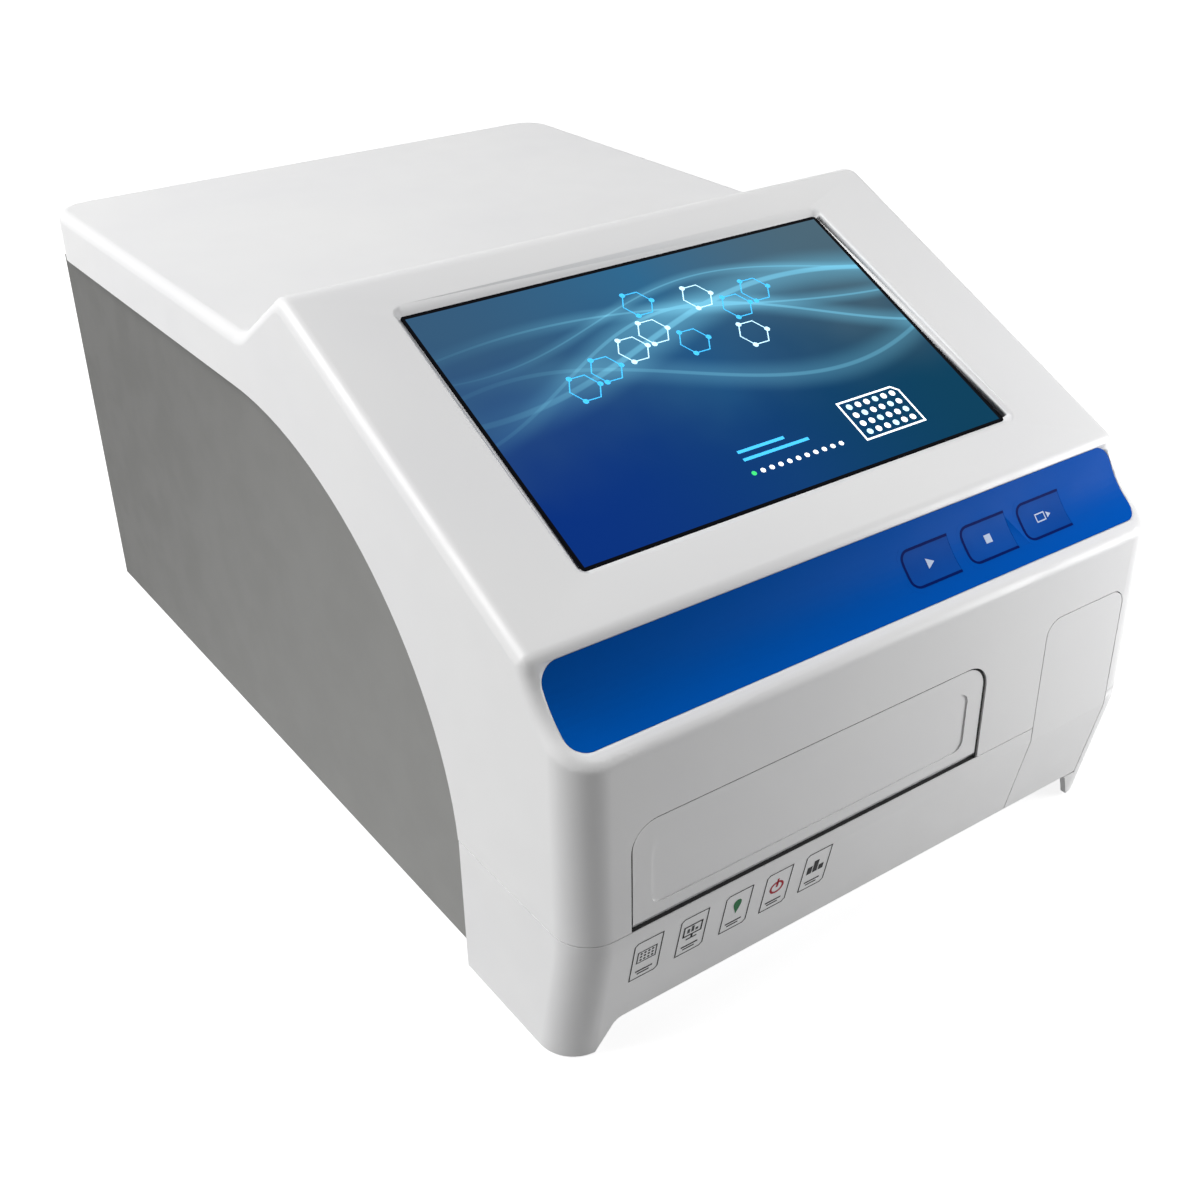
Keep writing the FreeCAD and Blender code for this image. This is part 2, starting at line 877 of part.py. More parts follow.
def cove_ring(name, inner, outer):
    """A full ring about the cove's axis, as long as the case."""
    middle = ("cove_axis_y", "cove_axis_z")
    big = rod(name + "_big", "X", middle, around("half_width"), outer)
    small = rod(name + "_small", "X", middle, around("half_width + margin"), inner)
    return cut(name, big, small)


control_half = "half_width - control_margin"
control_bed = shared(
    "control_bed",
    cove_ring("control_bed_ring", "cove_radius - 2", "cove_radius + control_sheet"),
    leaning_sheet("control_bed_plan", COVE, around(control_half), ("control_low", "control_high"),
                  ("0 - 2 * cove_sag", "cove_sag"), "control_corner"),
)
control_back = shared(
    "control_back",
    cove_ring("control_back_ring", "cove_radius + control_sheet",
              "cove_radius + control_sheet + case_wall"),
    leaning_block("control_back_plan", COVE, around("half_width - margin"),
                  ("control_low - case_wall", "control_high + case_wall"),
                  ("0 - 4 * cove_sag", "0")),
    case_inner,
)
key_window = leaning_block(
    "key_window", COVE,
    ("key_first - key_slit", "key_first + 2 * key_pitch + key_width + key_slit"),
    ("0 - key_drop - key_height / 2 - key_slit", "key_height / 2 - key_drop + key_slit"),
    ("0 - 4 * cove_sag", "0"),
)
screen_half = "screen_width / 2"
screen_rise = "screen_height / 2"


def screen_sketch(name, run, out):
    wide = f"{screen_half} + {run}"
    tall = f"{screen_rise} + {run}"
    turn = f"screen_corner + {run}"
    flat = sketch(name, "XY", [
        (f"0 - ({wide})", f"0 - ({tall})", turn),
        (wide, f"0 - ({tall})", turn),
        (wide, tall, turn),
        (f"0 - ({wide})", tall, turn),
    ])
    lean(flat, SLOPE, "0", out)
    return flat


screen_cut = doc.addObject("Part::Loft", "screen_cut")
screen_cut.Sections = [
    screen_sketch("screen_cut_low", "0 - trim", "0 - case_wall - trim"),
    screen_sketch("screen_cut_high", "bevel_run + trim", "trim"),
]
screen_cut.Solid = True
screen_cut.Ruled = True

ears = []
for side, near_x, far_x in (("left", "door_x_low", "door_x_low - ear_width"),
                            ("right", "door_x_high + ear_width", "door_x_high")):
    ears.append(block(f"ear_{side}", (far_x, near_x),
                      ("front + case_wall", "front + case_wall + ear_depth"),
                      ("shell_bottom", "shell_bottom + ear_height")))
ear_bore = rod("ear_bore", "X", ("hinge_y", "hinge_z"),
               ("door_x_low - ear_width - margin", "door_x_high + ear_width + margin"),
               "pin_radius + pin_clearance")
spring_outer = "pin_radius + pin_clearance + spring_wire"
spring_bed = rod("spring_bed", "X", ("hinge_y", "hinge_z"),
                 ("door_x_low - ear_width - spring_length - margin", "door_x_low - ear_width"),
                 f"{spring_outer} + spring_play")

keypad_posts = []
for number, (x, up) in enumerate((
        ("keypad_mid - keypad_width / 2 + boss_radius", "keypad_height / 2 - boss_radius"),
        ("keypad_mid + keypad_width / 2 - boss_radius", "keypad_height / 2 - boss_radius"),
        ("keypad_mid - keypad_width / 2 + boss_radius", "boss_radius - keypad_height / 2"),
        ("keypad_mid + keypad_width / 2 - boss_radius", "boss_radius - keypad_height / 2")), start=1):
    post = leaning_rod(f"keypad_post_{number}", COVE, x, f"{up} - key_drop",
                       ("0 - keypad_depth", "0 - cove_sag"), "boss_radius")
    keypad_posts.append(cut(f"keypad_boss_{number}", post,
                            rod(f"keypad_post_trim_{number}", "X", ("cove_axis_y", "cove_axis_z"),
                                around("half_width"), "cove_radius + control_sheet + margin")))
display_posts = []
for number, (sign_x, sign_up) in enumerate(((-1, -1), (1, -1), (-1, 1), (1, 1)), start=1):
    display_posts.append(leaning_rod(
        f"display_post_{number}", SLOPE,
        f"{sign_x} * (lcd_width / 2 + display_post_radius + 1)",
        f"{sign_up} * (lcd_height / 2 - 2 * display_post_radius)",
        ("0 - display_stack", "margin - case_wall"), "display_post_radius"))

shell_walls = cut("shell_walls", case_outer, case_inner, flank_cut, under_cut, door_cut, cover_cut)
shell_solid = join("shell_solid", shell_walls, control_back, *ears, *keypad_posts, *display_posts)
upper_shell = keep("upper_shell", cut("upper_shell", shell_solid, control_bed, key_window, screen_cut,
                                      ear_bore, spring_bed))

# Front base: skirt with the chin, the arch, two corner feet and the door's sill
base_outline = sketch("base_outline", "YZ", [
    ("flank_y", "base_lift"),
    ("flank_y", "parting_height"),
    ("front", "parting_height"),
    ("front", "chin_height"),
    ("chin_foot_y", "base_lift"),
], "0 - half_width")
base_block = drawn_out("base_block", base_outline, "case_width")


def base_corner(edge):
    ends = [vertex.Point for vertex in edge.Vertexes]
    if len(ends) < 2 or abs(abs(ends[0].x) - at("half_width")) > 0.01 or abs(ends[0].z - ends[1].z) < 1:
        return None
    return at("front_corner_radius") if max(end.y for end in ends) < at("flank_y") - 1 else None


base_solid = rounded("base_solid", base_block, base_corner)
base_hollow = prism("base_hollow", "YZ", around("half_width - case_wall"), [
    ("flank_y + margin", "base_lift - margin"),
    ("flank_y + margin", "parting_height - case_wall"),
    ("front + case_wall", "parting_height - case_wall"),
    ("front + case_wall", "chin_height"),
    ("chin_foot_y + case_wall + chin_run", "base_lift - margin"),
])
hollow_corners = rounded("hollow_corners", base_hollow, lambda edge: (
    at("front_corner_radius - case_wall")
    if len(edge.Vertexes) == 2
    and abs(edge.Vertexes[0].X - edge.Vertexes[1].X) < 0.01
    and abs(edge.Vertexes[0].Z - edge.Vertexes[1].Z) > 1
    and max(edge.Vertexes[0].Y, edge.Vertexes[1].Y) < at("flank_y")
    else None))
arch_low = "half_width - foot_width"
arch_high = "half_width - foot_width - foot_slope"
arch_cut = prism("arch_cut", "XZ", ("front - margin", "chin_foot_y + 2 * case_wall"), [
    (f"0 - ({arch_low}) - foot_slope", "0 - arch_height"),
    (f"{arch_low} + foot_slope", "0 - arch_height"),
    (arch_high, "arch_height", "arch_corner"),
    (f"0 - ({arch_high})", "arch_height", "arch_corner"),
])
deck_hole = block("deck_hole", around("half_width - case_wall - sill_depth / 2"),
                  ("front + sill_depth", "flank_y + margin"), ("chin_height", "parting_height + margin"))
panel_pass = block("panel_pass", around("half_width - case_wall"),
                   ("flank_y - panel_overlap - margin", "flank_y + margin"),
                   ("chin_height", "parting_height + margin"))
base_posts = []
for side, sign in (("left", -1), ("right", 1)):
    base_posts.append(rod(f"base_post_{side}", "Z", (f"{sign} * base_post_x", "front + base_post_back"),
                          ("floor_top", "parting_height - margin"), "2 * boss_radius"))
base_shell = cut("base_shell", base_solid, hollow_corners, arch_cut, cover_cut)
base_deck = cut("base_deck", base_shell, deck_hole, panel_pass)
post_bridges = []
for side, sign in (("left", -1), ("right", 1)):
    post_bridges.append(block(f"post_bridge_{side}",
                              (f"{sign} * base_post_x - boss_radius",
                               f"{sign} * base_post_x + boss_radius"),
                              ("front + sill_depth - margin", "front + base_post_back"),
                              ("parting_height - 2 * case_wall", "parting_height")))
front_base = keep("front_base", join("front_base", base_deck, *base_posts, *post_bridges))

# Side panels and back panel
for side, low, high in (("left", "0 - panel_x", "panel_sheet - panel_x"),
                        ("right", "panel_x - panel_sheet", "panel_x")):
    sheet = sweep_region(f"side_sheet_{side}", "panel_overlap", (low, high),
                         "panel_bottom", "sweep_top + panel_overlap", "rear_y")
    corner = block(f"side_corner_{side}", (f"{low} - margin", f"{high} + margin"),
                   ("back - back_corner_radius", "back"),
                   ("sweep_top - rim_drop", "sweep_top + 2 * panel_overlap"))
    keep(f"side_panel_{side}", cut(f"side_panel_{side}", sheet, corner))
inside = "panel_x - panel_sheet"
rear_plate = block("rear_plate", around(inside), ("rear_y - panel_sheet", "rear_y"),
                   ("floor_top", "sweep_top + panel_overlap"))
rear_foot = block("rear_foot", around(inside), ("rear_y - 6 * panel_sheet", "rear_y"),
                  ("floor_top", "floor_top + panel_sheet"))
through = ("rear_y - 8 * panel_sheet", "rear_y + margin")
corner_in = f"{inside} - rim_notch"
rear_cuts = []
for side, low, high in (("left", f"0 - ({inside}) - margin", f"0 - ({corner_in})"),
                        ("right", corner_in, f"{inside} + margin")):
    rear_cuts.append(block(f"rear_corner_{side}", (low, high), through,
                           ("sweep_top - rim_drop", "sweep_top + 2 * panel_overlap")))
for number in range(int(SIZES["grille_slots"])):
    across = f"({number} - (grille_slots - 1) / 2) * grille_pitch"
    rise = f"sqrt((fan_bore - 1) ^ 2 - ({across}) ^ 2)"
    rear_cuts.append(block(f"grille_slot_{number}",
                           (f"fan_x + {across} - grille_slot / 2", f"fan_x + {across} + grille_slot / 2"),
                           through, (f"fan_z - {rise}", f"fan_z + {rise}")))
usb_x = "ports_x"
lan_x = "ports_x + port_spacing"
port_floor = "floor_top + board_stand + board_sheet"


def socket_size(name):
    """Half width, foot and head of a socket on the main board."""
    if name == "usb":
        return usb_x, "usb_width / 2", port_floor, f"{port_floor} + 2 * usb_height + usb_spare"
    return lan_x, "lan_side / 2", port_floor, f"{port_floor} + lan_side"


for name in ("usb", "lan"):
    x, half, foot, head = socket_size(name)
    rear_cuts.append(block(f"{name}_hole", (f"{x} - {half} - port_fit", f"{x} + {half} + port_fit"),
                           through, (f"{foot} - port_fit", f"{head} + port_fit")))
inlet_body = (("0 - inlet_x - inlet_width / 2", "0 - inlet_x + inlet_width / 2"),
              ("inlet_z - inlet_height / 2", "inlet_z + inlet_height / 2"))
switch_body = (("0 - switch_x - switch_width / 2 - switch_rim",
                "0 - switch_x + switch_width / 2 + switch_rim"),
               ("inlet_z - switch_tall / 2 - switch_rim", "inlet_z + switch_tall / 2 + switch_rim"))
rear_cuts.append(block("inlet_hole", inlet_body[0], through, inlet_body[1]))
rear_cuts.append(block("switch_hole", switch_body[0], through, switch_body[1]))
rear_panel = keep("rear_panel", cut("rear_panel", join("rear_sheet", rear_plate, rear_foot), *rear_cuts))

# Chassis tray on its rubber feet
tray_walls = []
tray_floor = block("tray_floor_plate", around(inside), ("tray_y", "rear_y"), ("tray_floor", "floor_top"))
for side, low, high in (("left", f"0 - ({inside})", f"tray_sheet - ({inside})"),
                        ("right", f"{inside} - tray_sheet", inside)):
    tray_walls.append(block(f"tray_wall_{side}", (low, high), ("tray_y", "rear_y - 8 * panel_sheet"),
                            ("tray_floor", "tray_floor + tray_lip")))
chassis_tray = keep("chassis_tray", join("chassis_tray", tray_floor, *tray_walls))
feet = []
for number, (sign, y) in enumerate(((-1, "tray_y + feet_front"), (1, "tray_y + feet_front"),
                                    (-1, "back - feet_inset"), (1, "back - feet_inset")), start=1):
    shank = doc.addObject("Part::Cone", f"foot_{number}")
    bind(shank, Radius1="feet_radius - feet_taper", Radius2="feet_radius", Height="tray_floor")
    put(shank, f"{sign} * (half_width - feet_inset)", y, "0")
    feet.append(shank)
rubber_feet = keep("rubber_feet", group("rubber_feet", feet))

# Service cover, flush with the front and the chin
cover_skin = prism("cover_skin", "YZ", ("cover_x_low", "cover_x_high"), [
    ("front", "cover_top"),
    ("front", "chin_height"),
    ("front + (chin_height - arch_height) * chin_run", "arch_height"),
    ("front + (chin_height - arch_height) * chin_run + cover_sheet", "arch_height"),
    ("front + cover_sheet", "chin_height"),
    ("front + cover_sheet", "cover_top"),
])
cover_plan = prism("cover_plan", "XZ", ("front - margin", "chin_foot_y + 2 * case_wall"), [
    ("cover_x_low + cover_gap", "arch_height"),
    ("cover_x_high - cover_gap", "arch_height"),
    ("cover_x_high - cover_gap", "cover_top - cover_gap", "cover_corner - cover_gap"),
    ("cover_x_low + cover_gap", "cover_top - cover_gap", "cover_corner - cover_gap"),
])
service_cover = keep("service_cover", shared("service_cover", cover_skin, cover_plan))

# Control panel inlaid in the cove, with three paddle keys cut into it
control_ring = ("cove_radius", "cove_radius + control_sheet")
control_strip = shared(
    "control_strip",
    cove_ring("control_ring", *control_ring),
    leaning_sheet("control_plan", COVE, around(f"{control_half} - control_fit"),
                  ("control_low + control_fit", "control_high - control_fit"),
                  ("0 - 2 * cove_sag", "cove_sag"),
                  "control_corner - control_fit"),
)
key_foot = "0 - key_drop - key_height / 2"
key_head = "key_height / 2 - key_drop"
key_cuts = []
KEYS = ("key_start", "key_stop", "key_plate")
for number, node in enumerate(KEYS):
    left = f"key_first + {number} * key_pitch"
    right = f"{left} + key_width"
    key_cuts.append(leaning_block(f"{node}_slit", COVE, (f"{left} - key_slit", f"{right} + key_hinge_gap"),
                                  (f"{key_foot} - key_slit", f"{key_head} + key_slit"),
                                  ("0 - 2 * cove_sag", "cove_sag")))
    plan = sketch(f"{node}_plan", "XY", [
        (left, key_foot, "key_corner"),
        (right, key_foot),
        (right, key_head),
        (left, key_head, "key_corner"),
    ])
    lean(plan, COVE, "0", "0 - 2 * cove_sag")
    keep(node, shared(node, cove_ring(f"{node}_ring", *control_ring),
                      drawn_out(f"{node}_block", plan, "3 * cove_sag")))
control_panel = keep("control_panel", cut("control_panel", control_strip, *key_cuts))
keypad_out = ("0 - keypad_depth - board_sheet", "0 - keypad_depth")
keypad_board = keep("keypad_board", leaning_block(
    "keypad_board", COVE, ("keypad_mid - keypad_width / 2", "keypad_mid + keypad_width / 2"),
    ("0 - key_drop - keypad_height / 2", "keypad_height / 2 - key_drop"), keypad_out))
switches = []
for number in range(len(KEYS)):
    middle = f"key_first + {number} * key_pitch + key_width / 2"
    can = leaning_block(f"switch_can_{number}", COVE,
                        (f"{middle} - switch_side / 2", f"{middle} + switch_side / 2"),
                        ("0 - key_drop - switch_side / 2", "switch_side / 2 - key_drop"),
                        ("0 - keypad_depth", "switch_height - keypad_depth"))
    plunger = leaning_rod(f"plunger_{number}", COVE, middle, "0 - key_drop",
                          ("switch_height - keypad_depth - sink",
                           "switch_height + plunger_height - keypad_depth"),
                          "plunger_radius")
    switches.append(join(f"switch_{number}", can, plunger))
key_switches = keep("key_switches", group("key_switches", switches))

# Display stack behind the sloped frame
glass_half = f"{screen_half} + glass_margin"
glass_rise = f"{screen_rise} + glass_margin"
glass_top = "0 - case_wall"
glass_foot = f"{glass_top} - glass_sheet"
gasket_foot = f"{glass_foot} - gasket_sheet"
lcd_foot = f"{gasket_foot} - lcd_depth"
bracket_foot = f"{lcd_foot} - bracket_sheet"
touch_glass = keep("touch_glass", leaning_sheet("touch_glass", SLOPE, around(glass_half),
                                                around(glass_rise),
                                                (glass_foot, glass_top), "screen_corner"))
gasket_plate = leaning_block("gasket_plate", SLOPE, around(glass_half), around(glass_rise),
                             (gasket_foot, glass_foot))
gasket_hole = leaning_block("gasket_hole", SLOPE, around(f"{glass_half} - gasket_width"),
                            around(f"{glass_rise} - gasket_width"),
                            (f"{gasket_foot} - margin", f"{glass_foot} + margin"))
display_gasket = keep("display_gasket", cut("display_gasket", gasket_plate, gasket_hole))
lcd_module = keep("lcd_module", leaning_block("lcd_module", SLOPE, around("lcd_width / 2"),
                                              around("lcd_height / 2"),
                                              (lcd_foot, gasket_foot)))
bracket_half = "lcd_width / 2 + 2 * display_post_radius + margin"
bracket_plate = leaning_block("bracket_plate", SLOPE, around(bracket_half), around("lcd_height / 2"),
                              (bracket_foot, lcd_foot))
bracket_hole = leaning_block("bracket_hole", SLOPE, around("lcd_width / 2 - 3 * bracket_window"),
                             ("bracket_window", "lcd_height / 2 - bracket_window"),
                             (f"{bracket_foot} - margin", f"{lcd_foot} + margin"))
bracket_hole_low = leaning_block("bracket_hole_low", SLOPE, around("lcd_width / 2 - 3 * bracket_window"),
                                 ("bracket_window - lcd_height / 2", "0 - bracket_window"),
                                 (f"{bracket_foot} - margin", f"{lcd_foot} + margin"))
display_bracket = keep("display_bracket",
                       cut("display_bracket", bracket_plate, bracket_hole, bracket_hole_low))
display_board_top = f"{bracket_foot} - spacer_height"
board_parts = [leaning_block("display_board_plate", SLOPE, around("display_board_width / 2"),
                             around("display_board_height / 2"),
                             (f"{display_board_top} - board_sheet", display_board_top))]
for number, sign in enumerate((-1, 1), start=1):
    board_parts.append(leaning_rod(f"display_spacer_{number}", SLOPE,
                                   f"{sign} * (display_board_width / 2 - spacer_inset)",
                                   "0", (f"{display_board_top} - sink", bracket_foot), "boss_radius"))
board_parts.append(leaning_block("display_chip", SLOPE, around("chip_half"), around("chip_half"),
                                 (f"{display_board_top} - board_sheet - chip_sheet",
                                  f"{display_board_top} - board_sheet")))
display_board = keep("display_board", join("display_board", *board_parts))

# Door flap on two pins, with its closing spring
flap_x = ("door_x_low + door_gap", "door_x_high - door_gap")
flap_plate = prism("flap_plate", "XZ", ("door_face", "door_face + door_sheet"), [
    (flap_x[0], "hinge_z"),
    (flap_x[1], "hinge_z"),
    (flap_x[1], "door_top - door_gap", "door_corner - door_gap"),
    (flap_x[0], "door_top - door_gap", "door_corner - door_gap"),
])
flap_roll = rod("flap_roll", "X", ("hinge_y", "hinge_z"), flap_x, "door_hinge_inset")
emboss = rounded_box("emboss", "XZ", ("door_x_low + emboss_side", "door_x_high - emboss_side"),
                     ("emboss_foot", "emboss_head"), ("door_face - margin", "door_face + emboss_depth"),
                     "emboss_corner")
long_reach = "ear_width + spring_length + door_gap + pin_end"
pin_spans = ((f"{flap_x[0]} - ({long_reach})", f"{flap_x[0]} + pin_reach"),
             (f"{flap_x[1]} - pin_reach", f"{flap_x[1]} + door_gap + ear_width"))
pins = [rod(f"door_pin_{side}", "X", ("hinge_y", "hinge_z"), span, "pin_radius")
        for side, span in zip(("left", "right"), pin_spans)]
pin_bores = [rod(f"pin_bore_{side}", "X", ("hinge_y", "hinge_z"), span, "pin_radius")
             for side, span in zip(("left", "right"), pin_spans)]
plate_door = keep("plate_door", cut("plate_door", join("flap", flap_plate, flap_roll), emboss, *pin_bores))
door_hinge_pins = keep("door_hinge_pins", group("door_hinge_pins", pins))
spring_span = ("door_x_low - ear_width - spring_length", "door_x_low - ear_width - spring_play")
door_spring = keep("door_spring", cut(
    "door_spring",
    rod("spring_coil", "X", ("hinge_y", "hinge_z"), spring_span, spring_outer),
    rod("spring_bore", "X", ("hinge_y", "hinge_z"),
        ("door_x_low - 3 * ear_width - spring_length", "door_x_low"),
        "pin_radius + pin_clearance")))

# Plate carrier with its nest, tail, bushes and rods
carrier_x = ("door_mid - carrier_half", "door_mid + carrier_half")
rim = block("carrier_rim_block", carrier_x, ("carrier_y", "tail_y"), ("carrier_bottom", "carrier_top"))
tail = block("carrier_tail", carrier_x, ("tail_y - margin", "carrier_back"),
             ("carrier_bottom", "carrier_bottom + carrier_sheet"))
nest_half = "(plate_length + plate_play) / 2"
nest = block("nest", (f"door_mid - {nest_half}", f"door_mid + {nest_half}"), ("nest_y", "nest_back"),
             ("carrier_bottom + nest_floor", "carrier_top + margin"))
nest_window = block("nest_window", (f"door_mid - {nest_half} + nest_ledge",
                                    f"door_mid + {nest_half} - nest_ledge"),
                    ("nest_y + nest_ledge", "nest_back - nest_ledge"),
                    ("carrier_bottom - margin", "carrier_top"))
tail_window = rounded_box("tail_window", "XY",
                          ("door_mid - rod_spread + 2 * tail_margin",
                           "door_mid + rod_spread - 2 * tail_margin"),
                          ("tail_y + tail_margin", "carrier_back - 2 * tail_margin"),
                          ("carrier_bottom - margin", "carrier_top"), "tail_margin / 2")
carrier_body = rounded("carrier_body", join("carrier_blank", rim, tail), lambda edge: (
    at("carrier_wall / 2") if upright(edge) and edge.Vertexes[0].Y < at("carrier_y + margin") else None))
plate_carrier = keep("plate_carrier", cut("plate_carrier", carrier_body, nest, nest_window, tail_window))
plate_spring = keep("plate_spring", block(
    "plate_spring", (f"door_mid + {nest_half} - spring_sheet", f"door_mid + {nest_half}"),
    ("nest_y + 3 * nest_ledge", "nest_back - 3 * nest_ledge"),
    ("carrier_bottom + nest_floor", "carrier_top - nest_floor")))
bushes = []
rods = []
for side, sign in (("left", -1), ("right", 1)):
    rod_x = f"door_mid + {sign} * rod_spread"
    rods.append(rod(f"guide_rod_{side}", "Y", (rod_x, "rod_height"), ("rod_y", "rod_end"), "rod_radius"))
    for place, gap in (("front", "bush_front_gap"), ("rear", "bush_back_gap")):
        span = (f"carrier_back - {gap}", f"carrier_back - {gap} + bush_length")
        housing = block(f"bush_{place}_{side}", (f"{rod_x} - bush_radius", f"{rod_x} + bush_radius"), span,
                        ("rod_height - bush_radius", "carrier_bottom"))
        bore = rod(f"bush_bore_{place}_{side}", "Y", (rod_x, "rod_height"),
                   (f"{span[0]} - margin", f"{span[1]} + margin"), "rod_radius + bush_clearance")
        bushes.append(cut(f"bush_{place}_{side}_cut", housing, bore))
carrier_bushes = keep("carrier_bushes", group("carrier_bushes", bushes))
guide_rods = keep("guide_rods", group("guide_rods", rods))
block_top = "rod_height + block_width / 2 - margin"
for place, low, high in (("front", "rod_y", "rod_y + block_depth"),
                         ("rear", "rod_end - block_depth", "rod_end")):
    parts = [block(f"block_bar_{place}", ("door_mid - rod_spread - block_width / 2",
                                          "door_mid + rod_spread + block_width / 2"),
                   (low, high), ("floor_top", "floor_top + block_depth"))]
    bores = []
    for side, sign in (("left", -1), ("right", 1)):
        rod_x = f"door_mid + {sign} * rod_spread"
        parts.append(block(f"block_{place}_{side}",
                           (f"{rod_x} - block_width / 2", f"{rod_x} + block_width / 2"),
                           (low, high), ("floor_top", block_top)))
        bores.append(rod(f"block_bore_{place}_{side}", "Y", (rod_x, "rod_height"),
                         (f"{low} - margin", f"{high} + margin"), "rod_radius"))
    keep(f"rod_block_{place}", cut(f"rod_block_{place}", join(f"rod_block_{place}_solid", *parts), *bores))

# Belt drive beside the carrier
belt_span = ("belt_x - belt_width / 2", "belt_x + belt_width / 2")
belt_inner = "pulley_radius + belt_clearance"
belt_outer = "pulley_radius + belt_clearance + belt_sheet"


def belt_loop(name, x, radius):
    ends = [rod(f"{name}_{place}", "X", (y, "belt_axis_height"), x, radius)
            for place, y in (("idler", "idler_y"), ("drive", "drive_y"))]
    middle = block(f"{name}_middle", x, ("idler_y", "drive_y"),
                   (f"belt_axis_height - ({radius})", f"belt_axis_height + {radius}"))
    return join(name, middle, *ends)


drive_belt = keep("drive_belt", cut("drive_belt", belt_loop("belt_outside", belt_span, belt_outer),
                                    belt_loop("belt_inside",
                                              ("belt_x - belt_width", "belt_x + belt_width"), belt_inner)))


def toothed_pulley(node, y, bore):
    """A flanged pulley with tooth gaps cut along its drum."""
    half = "pulley_width / 2"
    drum = rod(f"{node}_drum", "X", (y, "belt_axis_height"), (f"belt_x - {half}", f"belt_x + {half}"),
               "pulley_radius")
    flanges = []
    for side, low, high in (("left", f"belt_x - {half} - flange_sheet", f"belt_x - {half}"),
                            ("right", f"belt_x + {half}", f"belt_x + {half} + flange_sheet")):
        flanges.append(rod(f"{node}_flange_{side}", "X", (y, "belt_axis_height"), (low, high),
                           "pulley_radius + flange_rise"))
    gaps = []
    for number in range(int(SIZES["pulley_teeth"])):
        angle = f"{number} * 360 / pulley_teeth"
        gaps.append(rod(f"{node}_gap_{number}", "X",
                        (f"{y} + pulley_radius * cos({angle})",
                         f"belt_axis_height + pulley_radius * sin({angle})"),
                        (f"belt_x - {half}", f"belt_x + {half}"), "tooth_depth"))
    body = join(f"{node}_body", cut(f"{node}_teeth", drum, *gaps), *flanges)
    hole = rod(f"{node}_bore", "X", (y, "belt_axis_height"),
               ("belt_x - pulley_width", "belt_x + pulley_width"), bore)
    return keep(node, cut(node, body, hole))


idler_pulley = toothed_pulley("idler_pulley", "idler_y", "shaft_radius + bush_clearance")
drive_pulley = toothed_pulley("drive_pulley", "drive_y", "shaft_radius")
motor_x = "belt_x + pulley_width"
motor_box = block("motor_box", (motor_x, f"{motor_x} + motor_length"),
                  ("drive_y - motor_side / 2", "drive_y + motor_side / 2"),
                  ("belt_axis_height - motor_side / 2", "belt_axis_height + motor_side / 2"))
motor_boss = rod("motor_boss", "X", ("drive_y", "belt_axis_height"),
                 (f"{motor_x} - tray_sheet", f"{motor_x} + margin"),
                 "motor_side / 4")
drive_motor = keep("drive_motor", join("drive_motor", rounded("motor_can", motor_box, lambda edge: (
    at("motor_side / 10") if abs(edge.Vertexes[0].X - edge.Vertexes[-1].X) > 5 else None)), motor_boss))
drive_shaft = keep("drive_shaft", rod("drive_shaft", "X", ("drive_y", "belt_axis_height"),
                                      ("belt_x - pulley_width / 2 - flange_sheet",
                                       f"{motor_x} - tray_sheet"),
                                      "shaft_radius"))
bracket_y = ("drive_y - motor_side / 2", "drive_y + motor_side / 2")
motor_plate = block("motor_plate", (f"{motor_x} - tray_sheet", motor_x), bracket_y,
                    ("floor_top", "belt_axis_height + motor_side / 2"))
motor_foot = block("motor_foot", (f"{motor_x} - tray_sheet", f"{motor_x} + motor_length / 2"), bracket_y,
                   ("floor_top", "floor_top + tray_sheet"))
motor_hole = rod("motor_hole", "X", ("drive_y", "belt_axis_height"),
                 (f"{motor_x} - 2 * tray_sheet", f"{motor_x} + margin"),
                 "motor_side / 4")
motor_bracket = keep("motor_bracket", cut("motor_bracket", join("motor_angle", motor_plate, motor_foot),
                                          motor_hole))
idler_plate = block("idler_plate", (f"{motor_x} - tray_sheet", motor_x),
                    ("idler_y - idler_half", "idler_y + idler_half"),
                    ("floor_top", "belt_axis_height + idler_half"))
idler_foot = block("idler_foot", (f"{motor_x} - tray_sheet", f"{motor_x} + idler_foot"),
                   ("idler_y - idler_foot_half", "idler_y + idler_half"),
                   ("floor_top", "floor_top + tray_sheet"))
idler_axle = rod("idler_axle", "X", ("idler_y", "belt_axis_height"),
                 ("belt_x - pulley_width / 2 - flange_sheet", f"{motor_x} - margin"), "shaft_radius")
idler_bracket = keep("idler_bracket", join("idler_bracket", idler_plate, idler_foot, idler_axle))
clamp_y = ("carrier_back - clamp_length - clamp_inset", "carrier_back - clamp_inset")
belt_top = f"belt_axis_height + {belt_outer}"
arm = block("clamp_arm", ("door_mid + rod_spread - arm_start", f"{belt_span[1]} + clamp_side"), clamp_y,
            ("carrier_bottom + carrier_sheet", "carrier_bottom + 2 * carrier_sheet"))
jaw = block("clamp_jaw", (f"{belt_span[0]} - jaw_side", f"{belt_span[1]} + clamp_side"), clamp_y,
            (f"{belt_top} - belt_sheet - jaw_foot", "carrier_bottom + carrier_sheet + margin"))
slot = block("clamp_slot", (f"{belt_span[0]} - belt_clearance", f"{belt_span[1]} + belt_clearance"),
             ("carrier_y", "carrier_back + margin"),
             (f"{belt_top} - belt_sheet - belt_clearance", f"{belt_top} + belt_clearance"))
belt_clamp = keep("belt_clamp", cut("belt_clamp", join("clamp_solid", arm, jaw), slot))

